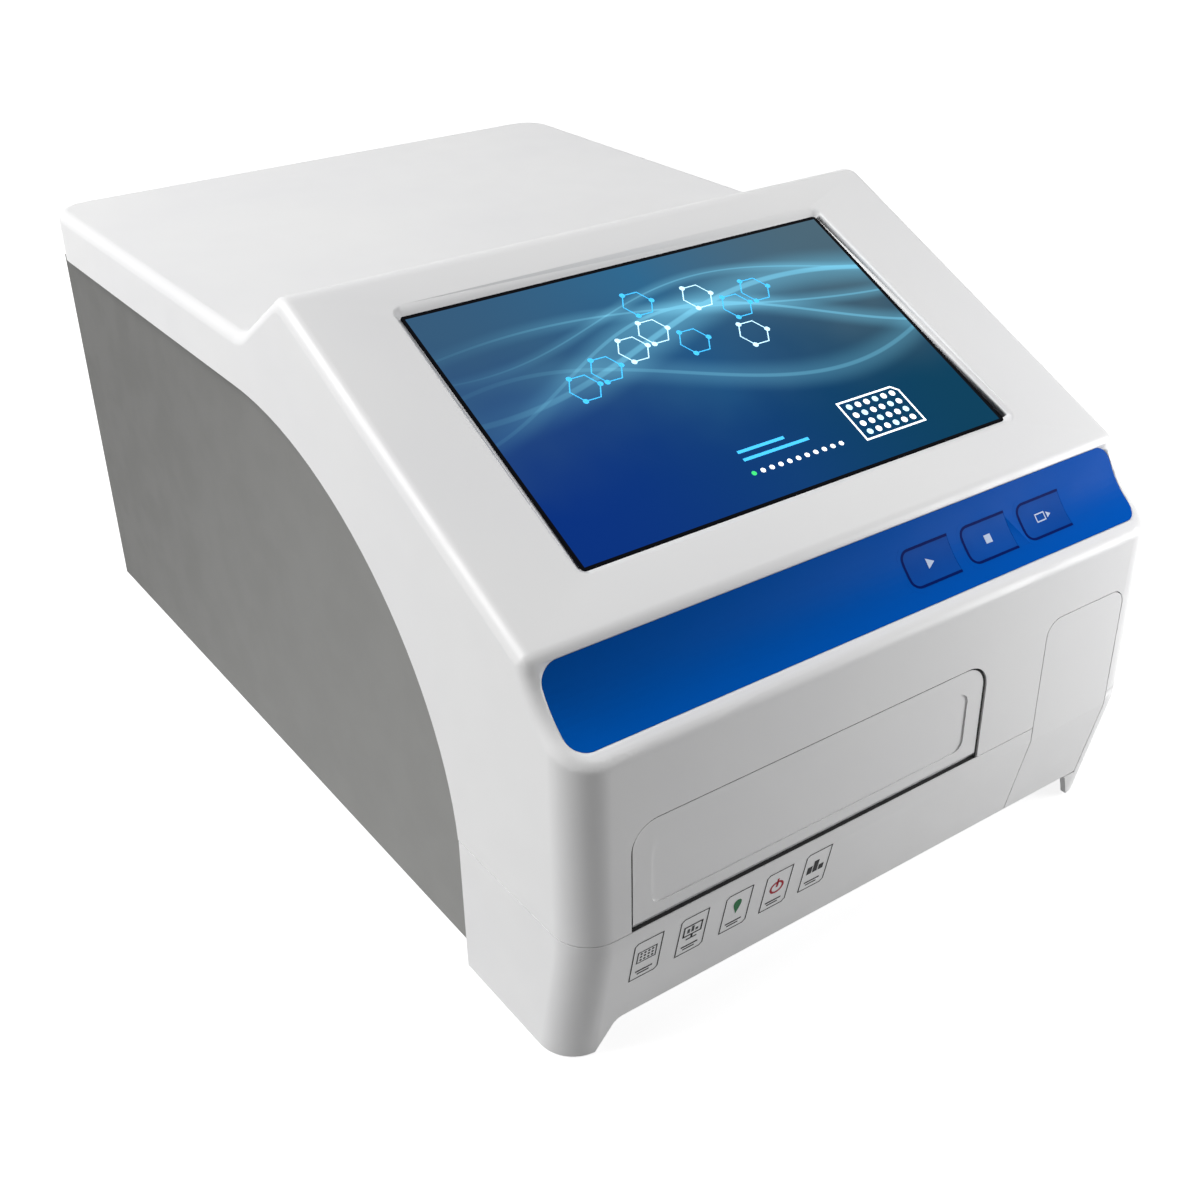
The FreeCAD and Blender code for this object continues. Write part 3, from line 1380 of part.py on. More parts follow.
# Optics: read head over the nest and its detector under it
head_span = ("head_y - head_depth / 2", "head_y + head_depth / 2")
head_x = ("door_mid - belt_offset - head_left", "belt_x + belt_width / 2 + head_right")
head_top = "head_bottom + head_height"
head_parts = [
    block("head_beam", head_x, head_span, ("head_bottom", head_top)),
    block("head_leg_left", (head_x[0], f"{head_x[0]} + leg_width"), head_span, ("floor_top", head_top)),
    block("head_leg_right", (f"{head_x[1]} - leg_width", head_x[1]), head_span, ("floor_top", head_top)),
]
head_bores = []
lenses = []
for number in range(int(SIZES["well_count"])):
    x = f"door_mid + ({number} - (well_count - 1) / 2) * well_pitch"
    head_bores.append(rod(f"head_bore_{number}", "Z", (x, "head_y"),
                          ("head_bottom - margin", f"{head_top} + margin"), "lens_radius"))
    lenses.append(rod(f"lens_{number}", "Z", (x, "head_y"),
                      ("head_bottom - lens_stand", "head_bottom + lens_stand"),
                      "lens_radius"))
read_head = keep("read_head", cut("read_head", join("head_solid", *head_parts), *head_bores))
head_lenses = keep("head_lenses", group("head_lenses", lenses))
detector_y = ("head_y - detector_depth / 2", "head_y + detector_depth / 2")
detector_foot = "detector_top - detector_height"
detector_parts = [block("detector_bar", ("door_mid - detector_half", "door_mid + detector_half"),
                        detector_y,
                        (detector_foot, "detector_top"))]
for side, low, high in (("left", "door_mid - detector_half", "door_mid - detector_half + leg_width"),
                        ("right", "door_mid + detector_half - leg_width", "door_mid + detector_half")):
    detector_parts.append(block(f"detector_leg_{side}", (low, high), detector_y,
                                ("floor_top", "detector_top")))
detector_block = keep("detector_block", join("detector_block", *detector_parts))
detector_board = keep("detector_board", block(
    "detector_board", ("door_mid - detector_half + detector_inset",
                       "door_mid + detector_half - detector_inset"), detector_y,
    (f"{detector_foot} - board_sheet", detector_foot)))

# Optics deck on four posts
deck_x = around("deck_side")
deck_plate = block("deck_plate", deck_x, ("deck_y", "deck_end"), ("deck_bottom", "deck_top"))
deck_shaft_hole = rod("deck_shaft_hole", "Z", ("grating_x", "grating_y"),
                      ("deck_bottom - margin", "deck_top + margin"),
                      "shaft_radius + margin")
post_places = (("post_inset - deck_side", "deck_y + post_front"),
               ("deck_side - post_inset", "deck_y + post_front"),
               ("post_inset - deck_side", "deck_end - post_rear"),
               ("deck_side / 2", "back - post_mid_back"))
deck_posts = [rod(f"deck_post_{number}", "Z", place, ("floor_top", "deck_bottom + margin"), "post_radius")
              for number, place in enumerate(post_places, start=1)]
optics_deck = keep("optics_deck", cut("optics_deck", join("deck_solid", deck_plate, *deck_posts),
                                      deck_shaft_hole))

# Monochromator: open case and lid, grating table, filter wheel and their motors
mono_x_span = ("mono_x", "mono_x + mono_width")
mono_y_span = ("mono_y", "mono_y + mono_depth")
mono_top = "deck_top + mono_height"
mono_block = block("mono_block", mono_x_span, mono_y_span, ("deck_top", mono_top))
mono_hollow = block("mono_hollow", ("mono_x + mono_wall", "mono_x + mono_width - mono_wall"),
                    ("mono_y + mono_wall", "mono_y + mono_depth - mono_wall"),
                    ("deck_top + mono_wall", f"{mono_top} + margin"))
shaft_hole = rod("mono_shaft_hole", "Z", ("grating_x", "grating_y"),
                 ("deck_top - margin", "deck_top + mono_wall + margin"),
                 "shaft_radius + margin")
light_way = rod("mono_light_way", "X", ("light_y", "light_z"),
                ("mono_x + mono_width - 2 * mono_wall", "mono_x + mono_width + margin"),
                "port_radius + margin")
fibre_way = rod("mono_fibre_way", "Y", ("fibre_x", "fibre_high"),
                ("mono_y - margin", "mono_y + 2 * mono_wall"), "fibre_radius")
monochromator_case = keep("monochromator_case",
                          cut("monochromator_case", mono_block, mono_hollow, shaft_hole,
                                                    light_way, fibre_way))
monochromator_lid = keep("monochromator_lid", block("monochromator_lid", mono_x_span, mono_y_span,
                                                    (mono_top, f"{mono_top} + lid_sheet")))
table_foot = "deck_top + mono_wall + margin"
grating_parts = [
    rod("grating_disc", "Z", ("grating_x", "grating_y"), (table_foot, f"{table_foot} + disc_sheet"),
        "grating_table_radius"),
    block("grating_plate", ("grating_x - grating_side / 2", "grating_x + grating_side / 2"),
          ("grating_y - grating_sheet / 2", "grating_y + grating_sheet / 2"),
          (f"{table_foot} + disc_sheet - margin", f"{table_foot} + disc_sheet + grating_side")),
    rod("grating_shaft", "Z", ("grating_x", "grating_y"),
        ("deck_bottom - margin", f"{table_foot} + margin"), "shaft_radius"),
]
grating_table = keep("grating_table", join("grating_table", *grating_parts))
motor_tabs = [rod(f"motor_tab_{side}", "Z",
                  (f"grating_x + {sign} * (grating_table_radius - tab_inset)", "grating_y"),
                  ("deck_bottom - tab_height", "deck_bottom"), "shaft_radius") for side,
              sign in (("left", -1), ("right", 1))]
grating_can = rod("grating_can", "Z", ("grating_x", "grating_y"),
                  ("deck_bottom - motor_drop", "deck_bottom - motor_gap"),
                  "grating_table_radius - motor_trim")
grating_motor = keep("grating_motor", join("grating_motor", grating_can, *motor_tabs))
wheel_x = "mono_x + mono_width - mono_wall - wheel_gap"
wheel_span = (f"{wheel_x} - wheel_sheet", wheel_x)
wheel_ports = []
for number in range(int(SIZES["wheel_ports"])):
    angle = f"{number} * 360 / wheel_ports"
    wheel_ports.append(rod(f"wheel_port_{number}", "X",
                           (f"light_y + wheel_ring * cos({angle}) - wheel_ring",
                            f"light_z + wheel_ring * sin({angle})"),
                           (f"{wheel_span[0]} - margin", f"{wheel_span[1]} + margin"), "port_radius"))
wheel_axis = ("light_y - wheel_ring", "light_z")
wheel_solid = join("wheel_solid", rod("wheel_disc", "X", wheel_axis, wheel_span, "wheel_radius"),
                   rod("wheel_shaft", "X", wheel_axis,
                       (f"{wheel_x} - wheel_sheet - wheel_lead", f"{wheel_x} - margin"), "shaft_radius"))
filter_wheel = keep("filter_wheel", cut("filter_wheel", wheel_solid, *wheel_ports))
can_end = f"{wheel_x} - wheel_sheet - wheel_lead"
filter_can = rod("filter_can", "X", wheel_axis, (f"{can_end} - can_length", can_end),
                 "wheel_radius - can_trim")
filter_stand = block("filter_stand", (f"{wheel_x} - wheel_sheet - stand_front",
                                      f"{wheel_x} - wheel_sheet - stand_rear"),
                     (f"{wheel_axis[0]} - stand_half", f"{wheel_axis[0]} + stand_half"),
                     ("deck_top + mono_wall", "light_z"))
filter_motor = keep("filter_motor", join("filter_motor", filter_can, filter_stand))

# Flash lamp in its housing, feeding the monochromator
lamp_x = "mono_x + mono_width + lamp_away"
lamp_y = "light_y - lamp_depth / 2"
lamp_box = block("lamp_box", (lamp_x, f"{lamp_x} + lamp_width"), (lamp_y, f"{lamp_y} + lamp_depth"),
                 ("deck_top", "deck_top + lamp_height"))
lamp_room = block("lamp_room", (f"{lamp_x} + lamp_wall", f"{lamp_x} + lamp_width - lamp_wall"),
                  (f"{lamp_y} + lamp_wall", f"{lamp_y} + lamp_depth - lamp_wall"),
                  ("deck_top + lamp_wall", "deck_top + lamp_height - lamp_wall"))
lamp_nose = rod("lamp_nose", "X", ("light_y", "light_z"), ("mono_x + mono_width", f"{lamp_x} + margin"),
                "port_radius + nose_wall")
lamp_port = rod("lamp_port", "X", ("light_y", "light_z"),
                ("mono_x + mono_width - margin", f"{lamp_x} + lamp_wall + margin"), "port_radius + margin")
lamp_housing = keep("lamp_housing", cut("lamp_housing", join("lamp_shell", lamp_box, lamp_nose),
                                        lamp_room, lamp_port))
flash_lamp = keep("flash_lamp", join(
    "flash_lamp",
    rod("lamp_envelope", "X", ("light_y", "light_z"),
        (f"{lamp_x} + lamp_lead", f"{lamp_x} + lamp_lead + lamp_length"),
        "lamp_radius"),
    rod("lamp_base", "X", ("light_y", "light_z"),
        (f"{lamp_x} + lamp_lead + lamp_length - base_lap", f"{lamp_x} + lamp_width - lamp_wall"),
        "lamp_radius + base_wall")))

# Fibre bundle from the monochromator down to the read head
fibre_path = [V(at("fibre_x"), at("mono_y + mono_wall"), at("fibre_high")),
              V(at("fibre_x"), at("mono_y - fibre_lead"), at("fibre_high")),
              V(at("fibre_x"), at("head_y + head_depth / 2 + fibre_lead"), at("fibre_low")),
              V(at("fibre_x"), at("head_y + head_depth / 2"), at("fibre_low"))]


def bent_tube(name, path, radius):
    """A round tube along straight runs joined by arcs as large as they allow."""
    runs = [(path[i + 1] - path[i]).Length for i in range(len(path) - 1)]
    edges = []
    start = path[0]
    for index in range(1, len(path) - 1):
        before = (path[index - 1] - path[index]).normalize()
        after = (path[index + 1] - path[index]).normalize()
        half_turn = (math.pi - before.getAngle(after)) / 2
        reach = 0.45 * min(runs[index - 1], runs[index])
        bend = reach / math.tan(half_turn)
        first = path[index] + before * reach
        last = path[index] + after * reach
        inward = (before + after).normalize()
        middle = path[index] + inward * (bend / math.cos(half_turn) - bend)
        edges += [Part.makeLine(start, first), Part.Arc(first, middle, last).toShape()]
        start = last
    edges.append(Part.makeLine(start, path[-1]))
    spine = Part.Wire(edges)
    ring = Part.Wire(Part.Circle(path[0], path[1] - path[0], radius).toShape())
    tube = doc.addObject("Part::Feature", name)
    tube.Shape = spine.makePipeShell([ring], True, False)
    return tube


fibre_bundle = keep("fibre_bundle", bent_tube("fibre_bundle", fibre_path, at("fibre_radius")))

# Main board with its sockets, and the power supply
board_x = ("board_left", "board_left + board_width")
board_y = ("rear_y - board_rear_gap - board_length", "rear_y - board_rear_gap")
board_foot = "floor_top + board_stand"
main_parts = [block("main_plate", board_x, board_y, (board_foot, port_floor))]
for number, (x, y) in enumerate((("board_left + stud_inset", f"{board_y[0]} + stud_inset"),
                                 ("board_left + board_width - stud_inset", f"{board_y[0]} + stud_inset"),
                                 ("board_left + stud_inset", f"{board_y[1]} - stud_rear"),
                                 ("board_left + board_width - stud_inset", f"{board_y[1]} - stud_rear")),
                                start=1):
    main_parts.append(rod(f"board_stud_{number}", "Z", (x, y), ("floor_top", f"{board_foot} + sink"),
                          "boss_radius"))
for number, (x, y, side, height) in enumerate(((10, 40, 16, 3), (34, 70, 18, 3), (10, 92, 12, 8),
                                               (36, 20, 14, 9)), start=1):
    main_parts.append(block(f"board_chip_{number}", (f"board_left + {x}", f"board_left + {x + side}"),
                            (f"{board_y[0]} + {y}", f"{board_y[0]} + {y + side}"),
                            (f"{port_floor} - sink", f"{port_floor} + {height}")))
main_board = keep("main_board", join("main_board", *main_parts))
ports = []
for name in ("usb", "lan"):
    x, half, foot, head = socket_size(name)
    body = block(f"{name}_shell", (f"{x} - {half}", f"{x} + {half}"),
                 ("rear_y - port_depth", "rear_y + port_proud"), (foot, head))
    mouths = []
    if name == "usb":
        for number in range(2):
            low = f"{foot} + usb_foot + {number} * (usb_height + usb_rib)"
            mouths.append(block(f"usb_mouth_{number}",
                                (f"{x} - {half} + usb_wall", f"{x} + {half} - usb_wall"),
                                ("rear_y - usb_bore", "rear_y + margin"),
                                (low, f"{low} + usb_height - usb_slack")))
    else:
        mouths.append(block("lan_mouth", (f"{x} - {half} + lan_wall", f"{x} + {half} - lan_wall"),
                            ("rear_y - lan_bore", "rear_y + margin"),
                            (f"{foot} + lan_foot", f"{head} - lan_head")))
        mouths.append(block("lan_key", (f"{x} - lan_key_half", f"{x} + lan_key_half"),
                            ("rear_y - lan_bore", "rear_y + margin"),
                            (f"{foot} + lan_key_foot", f"{foot} + lan_foot + margin")))
    ports.append(cut(f"{name}_socket", body, *mouths))
data_ports = keep("data_ports", group("data_ports", ports))
supply_x = f"supply_side - ({inside})"
supply_y = "back - supply_behind"
supply_parts = [block("supply_case", (supply_x, f"{supply_x} + supply_width"),
                      (supply_y, f"{supply_y} + supply_depth"),
                      ("floor_top", "floor_top + supply_height"))]
supply_slots = []
for number in range(int(SIZES["supply_slots"])):
    slot_y = f"{supply_y} + slot_first + {number} * slot_pitch"
    supply_slots.append(block(f"supply_slot_{number}",
                              (f"{supply_x} + slot_inset", f"{supply_x} + supply_width - slot_inset"),
                              (slot_y, f"{slot_y} + slot_width"),
                              ("floor_top + supply_height - slot_depth",
                               "floor_top + supply_height + margin")))
power_supply = keep("power_supply", cut("power_supply", supply_parts[0], *supply_slots))

# Fan: square frame with three struts, and a bladed rotor
fan_y = ("rear_y - panel_sheet - fan_depth", "rear_y - panel_sheet")
fan_block = rounded_box("fan_block", "XZ", ("fan_x - fan_side / 2", "fan_x + fan_side / 2"),
                        ("fan_z - fan_side / 2", "fan_z + fan_side / 2"), fan_y, "rim_radius")
fan_duct = rod("fan_duct", "Y", ("fan_x", "fan_z"), (f"{fan_y[0]} - margin", f"{fan_y[1]} + margin"),
               "fan_bore")
fan_parts = [cut("fan_ring", fan_block, fan_duct),
             rod("fan_seat", "Y", ("fan_x", "fan_z"), (fan_y[0], f"{fan_y[0]} + fan_seat"), "fan_hub")]
for number in range(int(SIZES["fan_struts"])):
    arm_bar = doc.addObject("Part::Box", f"fan_strut_{number}")
    bind(arm_bar, Length="fan_bore + margin", Width="fan_seat", Height="strut_height")
    arm_bar.Placement.Rotation = FreeCAD.Rotation(V(0, -1, 0),
                                                  at(f"{number} * 360 / fan_struts + strut_turn"))
    put(arm_bar, "fan_x", fan_y[0], "fan_z")
    fan_parts.append(arm_bar)
fan_frame = keep("fan_frame", join("fan_frame", *fan_parts))


def fan_blades(name):
    """The rotor: a hub and its pitched blades, trimmed to the duct."""
    low = at(f"{fan_y[0]} + fan_seat + fan_clearance")
    high = at(f"{fan_y[1]} - fan_clearance")
    middle = V(at("fan_x"), low, at("fan_z"))
    hub = Part.makeCylinder(at("fan_hub"), high - low, middle, V(0, 1, 0))
    reach = at("fan_bore - fan_clearance")
    thick = at("blade_sheet")
    chord = (high - low) * at("blade_stretch")
    blades = []
    for number in range(int(SIZES["fan_blades"])):
        blade = Part.makeBox(reach, thick, chord, V(at("fan_hub - margin"), -thick / 2, -chord / 2))
        blade.rotate(V(0, 0, 0), V(1, 0, 0), at("blade_pitch"))
        blade.rotate(V(0, 0, 0), V(0, 1, 0), 360 * number / at("fan_blades"))
        blade.translate(V(middle.x, (low + high) / 2, middle.z))
        blades.append(blade)
    duct = Part.makeCylinder(reach, high - low, middle, V(0, 1, 0))
    rotor = doc.addObject("Part::Feature", name)
    rotor.Shape = hub.fuse([blade.common(duct) for blade in blades]).removeSplitter()
    return rotor


fan_rotor = keep("fan_rotor", fan_blades("fan_rotor"))

# Power inlet with its contacts, and the rocker switch
inlet_mid = "0 - inlet_x"
inlet_flange = rounded_box("inlet_flange_plate", "XZ",
                           (f"{inlet_body[0][0]} - flange_margin", f"{inlet_body[0][1]} + flange_margin"),
                           (f"{inlet_body[1][0]} - flange_margin / 2",
                            f"{inlet_body[1][1]} + flange_margin / 2"),
                           ("rear_y", "rear_y + inlet_flange - inlet_recess"), "flange_margin / 2")
inlet_block = block("inlet_block", inlet_body[0], ("rear_y - inlet_depth", "rear_y + margin"),
                    inlet_body[1])
inlet_socket = prism("inlet_socket", "XZ",
                     ("rear_y + socket_floor - inlet_depth", "rear_y + inlet_flange"), [
    (f"{inlet_body[0][0]} + socket_side", f"{inlet_body[1][0]} + socket_end"),
    (f"{inlet_body[0][1]} - socket_side", f"{inlet_body[1][0]} + socket_end"),
    (f"{inlet_body[0][1]} - socket_side", f"{inlet_body[1][1]} - socket_chamfer"),
    (f"{inlet_body[0][1]} - socket_chamfer", f"{inlet_body[1][1]} - socket_end"),
    (f"{inlet_body[0][0]} + socket_chamfer", f"{inlet_body[1][1]} - socket_end"),
    (f"{inlet_body[0][0]} + socket_side", f"{inlet_body[1][1]} - socket_chamfer"),
])
power_inlet = keep("power_inlet", cut("power_inlet", join("inlet_body", inlet_flange, inlet_block),
                                      inlet_socket))
inlet_pins = keep("inlet_pins", group("inlet_pins", [
    block(f"inlet_pin_{number}", (f"{inlet_mid} + {x} - pin_half", f"{inlet_mid} + {x} + pin_half"),
          ("rear_y + socket_floor - inlet_depth", "rear_y - pin_back"),
          (f"inlet_z + {z} - pin_half_tall", f"inlet_z + {z} + pin_half_tall"))
    for number, (x, z) in enumerate((("0 - pin_spread", "0 - pin_shift"), ("0", "pin_shift"),
                                     ("pin_spread", "0 - pin_shift")), start=1)]))
switch_flange = block("switch_flange", (f"{switch_body[0][0]} - switch_rim",
                                        f"{switch_body[0][1]} + switch_rim"),
                      ("rear_y", "rear_y + switch_rim"),
                      (f"{switch_body[1][0]} - switch_rim", f"{switch_body[1][1]} + switch_rim"))
switch_case = block("switch_case", switch_body[0], ("rear_y - switch_body_depth", "rear_y + margin"),
                    switch_body[1])
rocker_x = ("0 - switch_x - switch_width / 2", "0 - switch_x + switch_width / 2")
switch_room = block("switch_room", (f"{rocker_x[0]} - rocker_gap", f"{rocker_x[1]} + rocker_gap"),
                    ("rear_y - switch_room_depth", "rear_y + 2 * switch_rim"),
                    ("inlet_z - switch_tall / 2 - rocker_gap", "inlet_z + switch_tall / 2 + rocker_gap"))
rocker_ends = [rod(f"rocker_bearing_{side}", "X", ("rear_y - rocker_bearing", "inlet_z"), span,
                   "shaft_radius / 2 + bush_clearance")
               for side, span in (("left", (f"{rocker_x[0]} - rocker_gap - margin", rocker_x[0])),
                                  ("right", (rocker_x[1], f"{rocker_x[1]} + rocker_gap + margin")))]
switch_housing = keep("switch_housing", cut("switch_housing",
                                            join("switch_solid", switch_flange, switch_case),
                                            switch_room, *rocker_ends))
rocker_shape = prism("rocker_shape", "YZ", rocker_x, [
    ("rear_y - rocker_root", "inlet_z - rocker_root_half"),
    ("rear_y - rocker_root", "inlet_z + rocker_root_half"),
    ("rear_y - rocker_in", "inlet_z + switch_tall / 2 - rocker_end_gap"),
    ("rear_y + rocker_rise", "inlet_z + switch_tall / 2 - rocker_tip_gap"),
    ("rear_y + rocker_dip", "inlet_z"),
    ("rear_y - rocker_low", "rocker_low_gap - switch_tall / 2 + inlet_z"),
    ("rear_y - rocker_low - rocker_hem", "rocker_low_gap + rocker_hem_rise - switch_tall / 2 + inlet_z"),
])
rocker_pivot = rod("rocker_pivot", "X", ("rear_y - rocker_bearing", "inlet_z"),
                   (f"{rocker_x[0]} - rocker_gap - margin + pivot_gap",
                    f"{rocker_x[1]} + rocker_gap + margin - pivot_gap"), "shaft_radius / 2")
switch_rocker = keep("switch_rocker", join("switch_rocker", rocker_shape, rocker_pivot))

# Screws that show on the back
screw_places = []
for sign in (-1, 1):
    for height in ("floor_top + screw_low", "sweep_foot_height + screw_mid", "sweep_top - screw_high"):
        screw_places.append((f"{sign} * ({inside} - screw_inset)", height))
rear_screws = keep("rear_screws", group("rear_screws", [
    rod(f"rear_screw_{number}", "Y", place, ("rear_y", "rear_y + screw_height"), "screw_radius")
    for number, place in enumerate(screw_places, start=1)]))

doc.recompute()
faults = []
for thing in doc.Objects:
    if "Invalid" in thing.State or "Error" in thing.State:
        faults.append(f"{thing.Name} is {thing.State}")
for thing in KEPT:
    if thing.Shape.isNull() or not thing.Shape.isValid() or not thing.Shape.Solids:
        faults.append(f"{thing.Label} has no sound shape")
if faults:
    raise SystemExit("; ".join(faults))

os.makedirs("parts", exist_ok=True)
for thing in KEPT:
    thing.Shape.exportStep(f"parts/{thing.Label}.step")
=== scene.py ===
"""Looks of the benchtop microplate reader: finishes with some painted shade, printed film, painted shade in
gaps, screen and studio.
"""

import json
import math

import bmesh
import bpy
from mathutils import Euler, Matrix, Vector


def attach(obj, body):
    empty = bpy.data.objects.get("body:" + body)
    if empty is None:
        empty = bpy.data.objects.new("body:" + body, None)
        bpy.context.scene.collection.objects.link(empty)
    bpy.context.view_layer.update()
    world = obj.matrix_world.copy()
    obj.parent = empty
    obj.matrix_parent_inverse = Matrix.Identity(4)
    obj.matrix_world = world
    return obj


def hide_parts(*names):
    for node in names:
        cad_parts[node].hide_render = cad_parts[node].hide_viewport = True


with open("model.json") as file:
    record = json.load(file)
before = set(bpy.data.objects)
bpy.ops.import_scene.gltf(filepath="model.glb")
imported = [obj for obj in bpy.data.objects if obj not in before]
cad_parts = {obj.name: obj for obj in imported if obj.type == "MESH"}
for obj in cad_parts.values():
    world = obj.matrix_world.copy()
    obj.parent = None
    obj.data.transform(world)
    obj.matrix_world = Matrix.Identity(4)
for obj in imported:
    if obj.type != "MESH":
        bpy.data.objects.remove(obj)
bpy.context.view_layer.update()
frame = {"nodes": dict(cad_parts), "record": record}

MM = 0.001

# Where the marked faces lie in the solids' frame, in metres
SLOPE_TURN = math.radians(25.3)
SLOPE_CENTRE = Vector((0.0, -0.125728, 0.219469))
CHIN_TURN = math.atan2(12.5, 59.0)
CHIN_TOP = Vector((0.0, -0.2408, 0.060))
COVE_AXIS = Vector((0.0, -0.252237, 0.186560))
COVE_TURN = math.radians(50.0)
SCREEN_HALF_WIDTH = 0.1078
SCREEN_HALF_HEIGHT = 0.0672

# Keys and the slits round them, in millimetres along the cove
KEY_LIFT = -1.2
KEY_MIDDLES = (32.55, 65.55, 98.55)
KEY_LEFT_REACH = 13.15
KEY_RIGHT_REACH = 12.9
KEY_HALF_HEIGHT = 7.9
KEY_CORNER = 3.9
SLIT_LINE = 1.1
SLIT_FILL = 2.8
SLIT_STRAIGHT = 1.5

# Gap round the plate door and its sill, where painted shade is laid, in millimetres: left, right, high, low
# and corner radius
DOOR_GAP = (-128.0, 52.2, 114.7, 67.0, 11.4)
DOOR_GAP_Y = -239.8
GAP_SHADE_WIDTH = 1.0
SILL_HEIGHT = 66.8
SILL_FRONT = -240.5
SILL_BACK = -238.6

# Framed pictures on the front base, in millimetres across and below the chin's top
PICTURE_LEFTS = (-127.0, -105.2, -83.4, -62.9, -42.3)
PICTURE_WIDTH = 13.6
PICTURE_HEIGHT = 22.6
PICTURE_CUT = 1.5
PICTURE_LINE = 0.5
PICTURE_MARGIN = 2.2
DARK_INK, GREY_INK, GREEN_INK, RED_INK = range(4)

# Lit marks on the screen, in millimetres from its middle
PALE_LIGHT, CYAN_LIGHT, WHITE_LIGHT, GREEN_LIGHT = range(4)
PALE_CELLS = ((2, 1), (3, 1), (5, 2), (6, 1))
CELLS = ((0, 0), (1, 0), (2, 1), (3, 1), (4, 1), (5, 2), (6, 2), (3, 2), (6, 1), (7, 2))
CELLS_LEFT, CELLS_LOW = -58, 10
CELL_STEP, CELL_LEAN = 14.4, 3
CELL_RISE, CELL_STAGGER, CELL_FALL = 16.6, 8.3, 2.2
CELL_RADIUS = 7.6
CELL_LINE = 0.5
CELL_DOT_REACH = 7.4
CELL_DOT = 1.3
PLATE_LEFT, PLATE_LOW = 40.0, -56.0
PLATE_WIDTH, PLATE_HEIGHT, PLATE_CUT = 34, 22, 3
PROGRESS_LEFT = -18

# Nodes in view that get soft edges: slot, and width of the rounding in metres
SOFT_EDGED = {
    "upper_shell": ("shell_white", 0), "front_base": ("shell_white", 0),
    "plate_door": ("shell_white", 0.0004), "service_cover": ("shell_white", 0.0004),
    "control_panel": ("panel_blue", 0.00015), "key_start": ("key_blue", 0.00015),
    "key_stop": ("key_blue", 0.00015), "key_plate": ("key_blue", 0.00015),
    "side_panel_left": ("panel_grey", 0.0003), "side_panel_right": ("panel_grey", 0.0003)}


# Finishes
def linear(code):
    """A screen colour, written as six hex digits, as linear red, green and blue."""
    parts = [int(code[i:i + 2], 16) / 255 for i in (0, 2, 4)]
    return [c / 12.92 if c <= 0.04045 else ((c + 0.055) / 1.055) ** 2.4 for c in parts]


